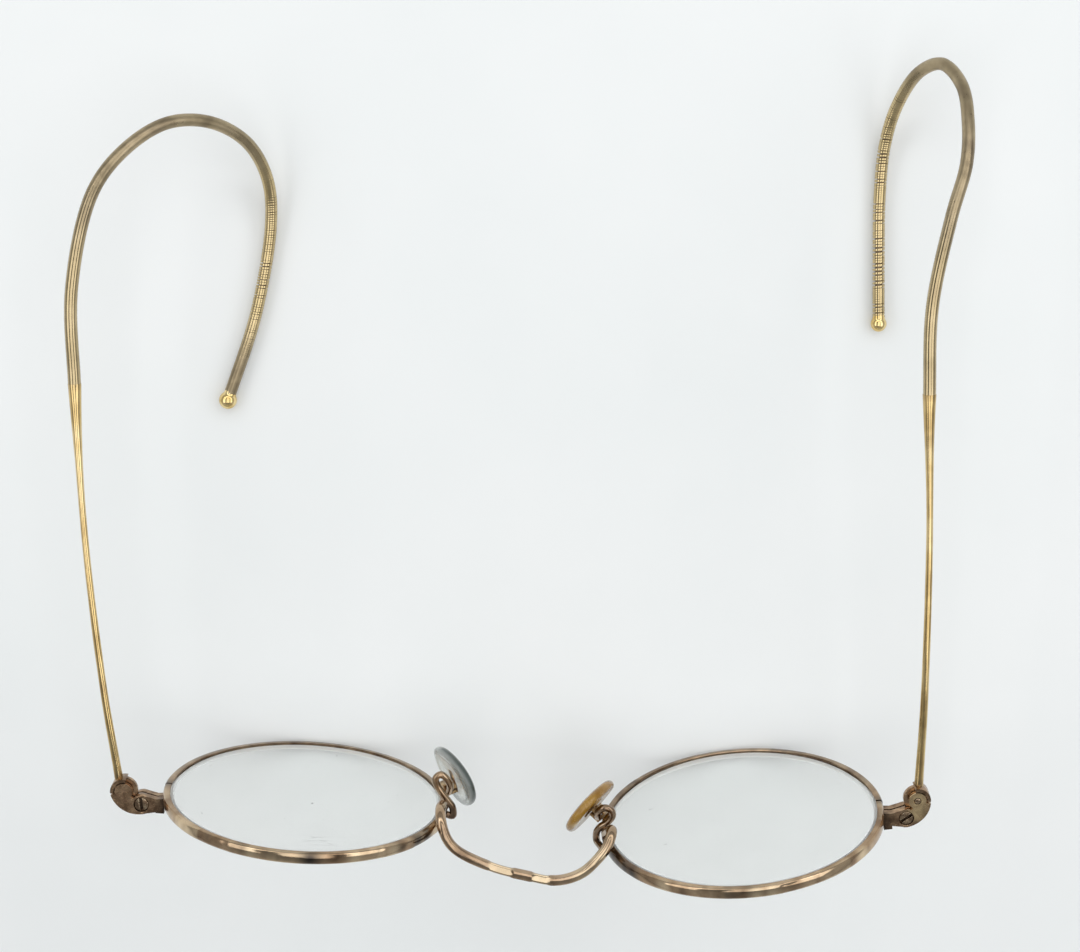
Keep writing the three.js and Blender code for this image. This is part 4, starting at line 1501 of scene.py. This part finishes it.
# %% [markdown]
# A temple is a tapered bar that swells into a socket, and a springy cable that hooks behind the ear:
# a fine wire wound tight round a thin heart, closed by a ball. Bar and cable follow one route, taken
# from the bends that wear gave each side. A bend of the bar is a share of its length, a step outward
# and a rise. A bend of the hook is a step outward and back from the bar's end, and a level that goes
# from 1 at the bar's height to 0 on the table, where the ball rests.

# %% Bends of the temples
BAR_LENGTH = 58
BAR_ROOT = 2.15
bar_turn = {"right": 25, "left": 5}
shank_bends = {
    "right": [(0.24, 2.9, 1.2), (0.62, 5.6, 3), (1, 7.2, 4.2)],
    "left": [(0.25, -0.2, 1.3), (0.65, -1.6, 3.3), (1, -3.4, 4.6)],
}
hook_bends = {
    "right": [
        (0.5, 13, 1.02), (-1.7, 25.7, 0.93), (-5.4, 31.5, 0.8), (-10.5, 35.2, 0.63),
        (-15.9, 35.4, 0.44), (-20.5, 32.6, 0.25), (-23, 27.6, 0.1), (-23.5, 21.3, 0.02),
        (-21.7, 8.2, 0), (-18, -4.6, 0),
    ],
    "left": [
        (-0.6, 12, 1.02), (1.1, 24, 1), (2.8, 31, 0.93), (3.1, 36.6, 0.8), (2.5, 41.3, 0.64),
        (0.3, 44, 0.47), (-2.2, 42.7, 0.3), (-4.3, 38, 0.13), (-5.3, 32.3, 0.03),
        (-5.4, 25, 0), (-4.9, 16.4, 0), (-4.2, 6.8, 0),
    ],
}
print("bends of the hooks:", {name: len(bends) for name, bends in hook_bends.items()})

# %% [markdown]
# The bends are placed from each hinge and joined to one smooth line. The bar's share of that line is
# kept as well, because bar and cable part there.

# %% Temple routes
def beside_hinge(half, out, back, up):
    """A place measured from the hinge, outward, back and up."""
    return half.hinge + Vector((half.sign * out, back, up))


def temple_bends(half):
    """Bends of the bar and of the hook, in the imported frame."""
    turn = math.radians(bar_turn[half.name])
    ball_rise = half.ball_radius - half.hinge.z
    shank = shank_bends[half.name]
    end_out, end_rise = shank[-1][1:]
    bar = [(BAR_ROOT * math.sin(turn), BAR_ROOT * math.cos(turn), 0)]
    bar += [(out, share * BAR_LENGTH, rise) for share, out, rise in shank]
    hook = []
    for out, back, level in hook_bends[half.name]:
        hook.append((end_out + out, BAR_LENGTH + back, ball_rise + level * (end_rise - ball_rise)))
    return [beside_hinge(half, *bend) for bend in bar], [beside_hinge(half, *bend) for bend in hook]


for half in halves:
    bar_points, hook_points = temple_bends(half)
    half.route = bent(bar_points + hook_points)
    half.bar_end = bent(bar_points).length
    print(half.name, "temple is", round(half.route.length, 1), "mm along its bends")

# %% [markdown]
# The bar is thinnest about two thirds of the way back and then swells to take the cable. It starts
# inside the hinge's wall, where it is soldered. It was drawn flat-sided and twists a little along its
# length, so a slow noise turns the section, and the streaks of light wander along the bar with it.

# %% Bars
BAR_SINK = 0.45
BAR_PACE = 0.5
WAIST = 0.68
ROOT_RADIUS = 0.65
WAIST_RADIUS = 0.47
SOCKET_RADIUS = 0.95
BAR_SQUARE = 2.5
BAR_TWIST = 0.6
TWIST_SIZE = 8
TWIST_ROW = 0.5


def bar_radius(share):
    """Radius of the bar at a share of its length."""
    if share < WAIST:
        return ROOT_RADIUS + (WAIST_RADIUS - ROOT_RADIUS) * math.sqrt(max(share, 0) / WAIST)
    swell = (share - WAIST) / (1 - WAIST)
    return WAIST_RADIUS + (SOCKET_RADIUS - WAIST_RADIUS) * swell**2


for half in halves:
    bar_stops = stops(-BAR_SINK, half.bar_end, BAR_PACE)
    bar_sections = []
    for distance in bar_stops:
        wander = noise.noise(Vector((distance / TWIST_SIZE, half.sign, TWIST_ROW)))
        radius = bar_radius(distance / half.bar_end)
        bar_sections.append(wire_section(radius, BAR_SQUARE, BAR_TWIST * (1 + wander)))
    bar = wire(f"{half.name}_bar_wire", half.route, bar_stops, bar_sections)
    seat_here(bar)
    mark(bar, STAIN_AND_SHADE, [half.route.at(0), half.route.at(half.bar_end)], reach=1.5)
    keep(bar, f"{half.name}_temple", "bar_gold", bar_gold, f"{half.name}_temple_bar")

# %% [markdown]
# The wrap is one wire wound round the heart nearly three hundred times. Where the turns are tight, they are
# worn level and read as one smooth tube. Where they have slipped apart towards the hook's end, each
# turn keeps its arch. The strand's section changes with that looseness.

# %% Strand of a cable
WRAP_INNER = 0.58
WRAP_OUTER = 0.885
STRAND_HALF = 0.155
WORN_DROP = 0.001
ARCH_DROP = 0.02
ARCH_SHARE = 0.6
loose_stretch = {"right": (0.76, 0.82, 0.6), "left": (0.76, 1.0, 1.0)}
LOOSE_BLEND = 0.15


def looseness(half, share):
    """How far the turns have slipped apart at a share of the cable: 0 is tight, 1 is loose."""
    low, high, most = loose_stretch[half.name]
    inside = min(share - low, high - share) / LOOSE_BLEND + 1
    return most * min(max(inside, 0), 1)


def strand_section(loose):
    """A strand's section: worn level where the turns are tight, arched where they are loose."""
    drop = WORN_DROP + (ARCH_DROP - WORN_DROP) * loose
    shoulder = WRAP_OUTER - drop
    crown = WRAP_OUTER - drop / 4
    half_arch = STRAND_HALF * ARCH_SHARE
    return [
        (WRAP_INNER, -STRAND_HALF), (shoulder, -STRAND_HALF), (crown, -half_arch), (WRAP_OUTER, 0.0),
        (crown, half_arch), (shoulder, STRAND_HALF), (WRAP_INNER, STRAND_HALF),
    ]


print("the strand is", 2 * STRAND_HALF, "mm wide")

# %% [markdown]
# Painting lines on a tube would look flat from the side, so the strand itself is carried round the route in
# a helix, and the joints between its turns come from the shape, with the heart seen in the gaps painted
# dark as shade. Loose turns get gaps of uneven width, from the same kind of noise that picked the flats of
# the rims.

# %% Winding of a cable
WRAP_PITCH = 0.31
WRAP_STEPS = 14
TURN_GAP = 1.0
GAP_ROW = 0.5


def cable_wrap(half, start, end):
    """One strand wound round a stretch of the route, with gaps between its loose turns."""
    distances = [start]
    loosenesses = [0.0]
    while distances[-1] < end:
        loose = looseness(half, (distances[-1] - start) / (end - start))
        number = len(distances) // WRAP_STEPS
        gap = TURN_GAP * loose * max(0, cell_noise(number, half.sign, GAP_ROW))
        distances.append(distances[-1] + WRAP_PITCH * (1 + gap) / WRAP_STEPS)
        loosenesses.append(loose)
    rings = []
    for k, (point, ahead, side, across) in enumerate(half.route.stations(distances)):
        turn = math.tau * k / WRAP_STEPS
        out = math.cos(turn) * side + math.sin(turn) * across
        section = strand_section(loosenesses[k])
        rings.append([point + radius * out + along * ahead for radius, along in section])
    return skin(f"{half.name}_cable_wrap", rings)


print("the strand takes one turn every", WRAP_PITCH, "mm")

# %% [markdown]
# The heart runs from inside the bar's socket into the ball, and the wrap starts and ends a little way
# inside them too. The heart is painted dark all along, as the shade that falls inside the wrap. Handling
# polishes the cable beside the bar and near its end, and it leaves some gilt there, so both are marked
# along stretches, given as shares of the cable.

# %% Cables
HEART_RADIUS = 0.5
HEART_PACE = 1.0
HEART_IN_BAR = 0.3
HEART_IN_BALL = 0.4
WRAP_IN_BAR = 0.15
WRAP_IN_BALL = 0.05
SPOT_STEPS = 24
SPOT_REACH = 9
rubbed_stretches = {"right": [(0.0, 0.22), (0.62, 0.86)], "left": [(0.0, 0.2), (0.66, 1.0)]}
gilt_stretches = {
    "right": [(0.0, 0.16, 0.25), (0.68, 0.86, 0.6)],
    "left": [(0.0, 0.16, 0.25), (0.68, 1.0, 0.6)],
}


def spots_along(half, stretches, start, end):
    """Places along stretches of a cable, given as shares of it."""
    spots = []
    for low, high in stretches:
        shares = [low + (high - low) * k / SPOT_STEPS for k in range(SPOT_STEPS + 1)]
        spots += [half.route.at(start + share * (end - start)) for share in shares]
    return spots


for half in halves:
    body = f"{half.name}_temple"
    ball_start = half.route.length - half.ball_radius
    heart_stops = stops(half.bar_end - HEART_IN_BAR, ball_start + HEART_IN_BALL, HEART_PACE)
    heart_sections = [wire_section(HEART_RADIUS)] * len(heart_stops)
    heart = wire(f"{half.name}_cable_heart", half.route, heart_stops, heart_sections)
    seat_here(heart)
    cable = (half.bar_end, ball_start)
    # painted shade: the heart is darkened all along so the gaps between the turns look shaded
    mark(heart, STAIN_AND_SHADE, spots_along(half, [(0, 1)], *cable), SPOT_REACH)
    keep(heart, body, "cable", cable_gold, f"{half.name}_cable_core")
    wrap = cable_wrap(half, half.bar_end - WRAP_IN_BAR, ball_start + WRAP_IN_BALL)
    seat_here(wrap)
    mark(wrap, RUBBED, spots_along(half, rubbed_stretches[half.name], *cable), SPOT_REACH)
    for low, high, amount in gilt_stretches[half.name]:
        mark(wrap, GILT, spots_along(half, [(low, high)], *cable), SPOT_REACH, amount)
    keep(wrap, body, "cable", cable_gold, f"{half.name}_cable_winding")

# %% [markdown]
# The ball keeps the cable's end from scratching. It is turned with a short collar that grips the
# wrap, and set on the route's end along the route's heading.

# %% Ball tips
BALL_RINGS = 24
GRIP_INNER = 0.6
GRIP_OUTER = 0.82
GRIP_LENGTH = 0.35
GRIP_END = 0.05
BALL_NECK = 0.85


def ball_tip(half):
    """A ball with a collar towards the cable."""
    radius = half.ball_radius
    grip_start = -radius - GRIP_LENGTH
    profile = [(GRIP_INNER, grip_start), (GRIP_OUTER, grip_start), (GRIP_OUTER, -radius - GRIP_END)]
    for k in range(BALL_RINGS + 1):
        turn = math.pi * k / BALL_RINGS
        if radius * math.sin(turn) > BALL_NECK or k > BALL_RINGS / 2:
            profile.append((radius * math.sin(turn), -radius * math.cos(turn)))
    return turned(f"{half.name}_ball_tip", profile, ROUND_STEPS)


for half in halves:
    end = half.route.length
    ahead = half.route.heading(end)
    side = ahead.orthogonal().normalized()
    ball = seat(ball_tip(half), half.route.at(end), side, ahead.cross(side), ahead)
    keep(ball, f"{half.name}_temple", "ball_gold", ball_gold, f"{half.name}_tip_ball")

# %% [markdown]
# The pair stands on a plain pale table. The floor is a broad sheet with a faint mottle, large enough
# that no view meets its edge. It lies a hair below the pair, so that the two never share a face.

# %% Floor
FLOOR_HALF = 3000
FLOOR_TOP = -0.02
FLOOR_UNDERSIDE = -20
PAPER_CLOUD = 60
PAPER_SMEAR = 9
PAPER_SHINE = (0.55, 0.7)
paper_tones = [(0.86, 0.885, 0.885), (0.90, 0.915, 0.915)]
sheet = box_outline(-FLOOR_HALF, -FLOOR_HALF, FLOOR_HALF, FLOOR_HALF)
floor = prism("pale_table", sheet, FLOOR_UNDERSIDE, FLOOR_TOP)
seat_here(floor)
floor_finish, tree, main = shader("pale_table")
where = on_piece(tree)
main.inputs["Specular IOR Level"].default_value = 0.2
paper = ramp(tree, mottle(tree, where, PAPER_CLOUD), list(zip(FAINT_STOPS, paper_tones)))
tree.links.new(paper, main.inputs["Base Color"])
dull = spread(tree, mottle(tree, where, PAPER_SMEAR), *PAPER_SHINE)
tree.links.new(dull, main.inputs["Roughness"])
floor.data.materials.append(floor_finish)
floor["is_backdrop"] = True
print("floor top in mm:", FLOOR_TOP)

# %% [markdown]
# Metal shows what stands round it. A broad soft sheet hangs above the pair, a long strip stands on
# either side and another broad sheet behind the hooks. Between them is dim room, and it is the bright
# sheets with the dimness between them that give each wire its streaks and its dark lines. The power
# of a sheet is worked out from its size, so that a larger one isn't a brighter one.

# %% Lights
AIM_SHARE = 1 / 6


def strip(name, place, length, width, radiance):
    """A soft light that faces the front of the pair, with its length and width in millimetres."""
    data = bpy.data.lights.new(name, "AREA")
    data.shape = "RECTANGLE"
    data.size = length * MM
    data.size_y = width * MM
    data.energy = radiance * math.pi * data.size * data.size_y
    lamp = bpy.data.objects.new(name, data)
    lamp.location = place * MM
    facing = place - Vector((place.x * AIM_SHARE, place.y, 0))
    lamp.rotation_euler = facing.to_track_quat("Z", "Y").to_euler()
    lamp.visible_camera = False
    bpy.context.scene.collection.objects.link(lamp)
    return lamp


strip("top_sheet", Vector((45, 65, 600)), length=710, width=420, radiance=1.45)
strip("left_strip", Vector((-250, 60, 240)), length=420, width=160, radiance=1.45)
strip("right_strip", Vector((250, 60, 240)), length=420, width=160, radiance=1.45)
strip("rear_sheet", Vector((0, 520, 420)), length=900, width=300, radiance=1.6)

# %% [markdown]
# The room itself is a soft grey with a trace of blue, brighter near the table than overhead, so that
# shadows stay faint and the upper faces of the metal keep their depth. It is a ramp over the height
# of the direction that a ray leaves in. The plain view transform keeps the pale table pale.

# %% Room
COOL = (0.97, 1.0, 1.01)
wall_levels = [(0.0, 0.46), (0.25, 0.5), (0.5, 0.4), (0.74, 0.3), (0.92, 0.2)]


def cool(level):
    """A grey with a trace of blue."""
    return tuple(level * share for share in COOL)


world = bpy.data.worlds.new("soft_room")
bpy.context.scene.world = world
world.use_nodes = True
room = world.node_tree
direction = room.nodes.new("ShaderNodeTexCoord")
split = room.nodes.new("ShaderNodeSeparateXYZ")
room.links.new(direction.outputs["Generated"], split.inputs["Vector"])
walls = ramp(room, split.outputs["Z"], [(height, cool(level)) for height, level in wall_levels])
backdrop = room.nodes["Background"]
room.links.new(walls, backdrop.inputs["Color"])
bpy.context.scene.view_settings.view_transform = "Standard"
print("room levels from the table up:", [level for height, level in wall_levels])

# %% Measure and finish
visual_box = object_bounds()
visual_size = [round(extent / MM, 2) for extent in visual_box[1] - visual_box[0]]
print("dressed box in mm:", visual_size, "packed box in mm:", cad_size)
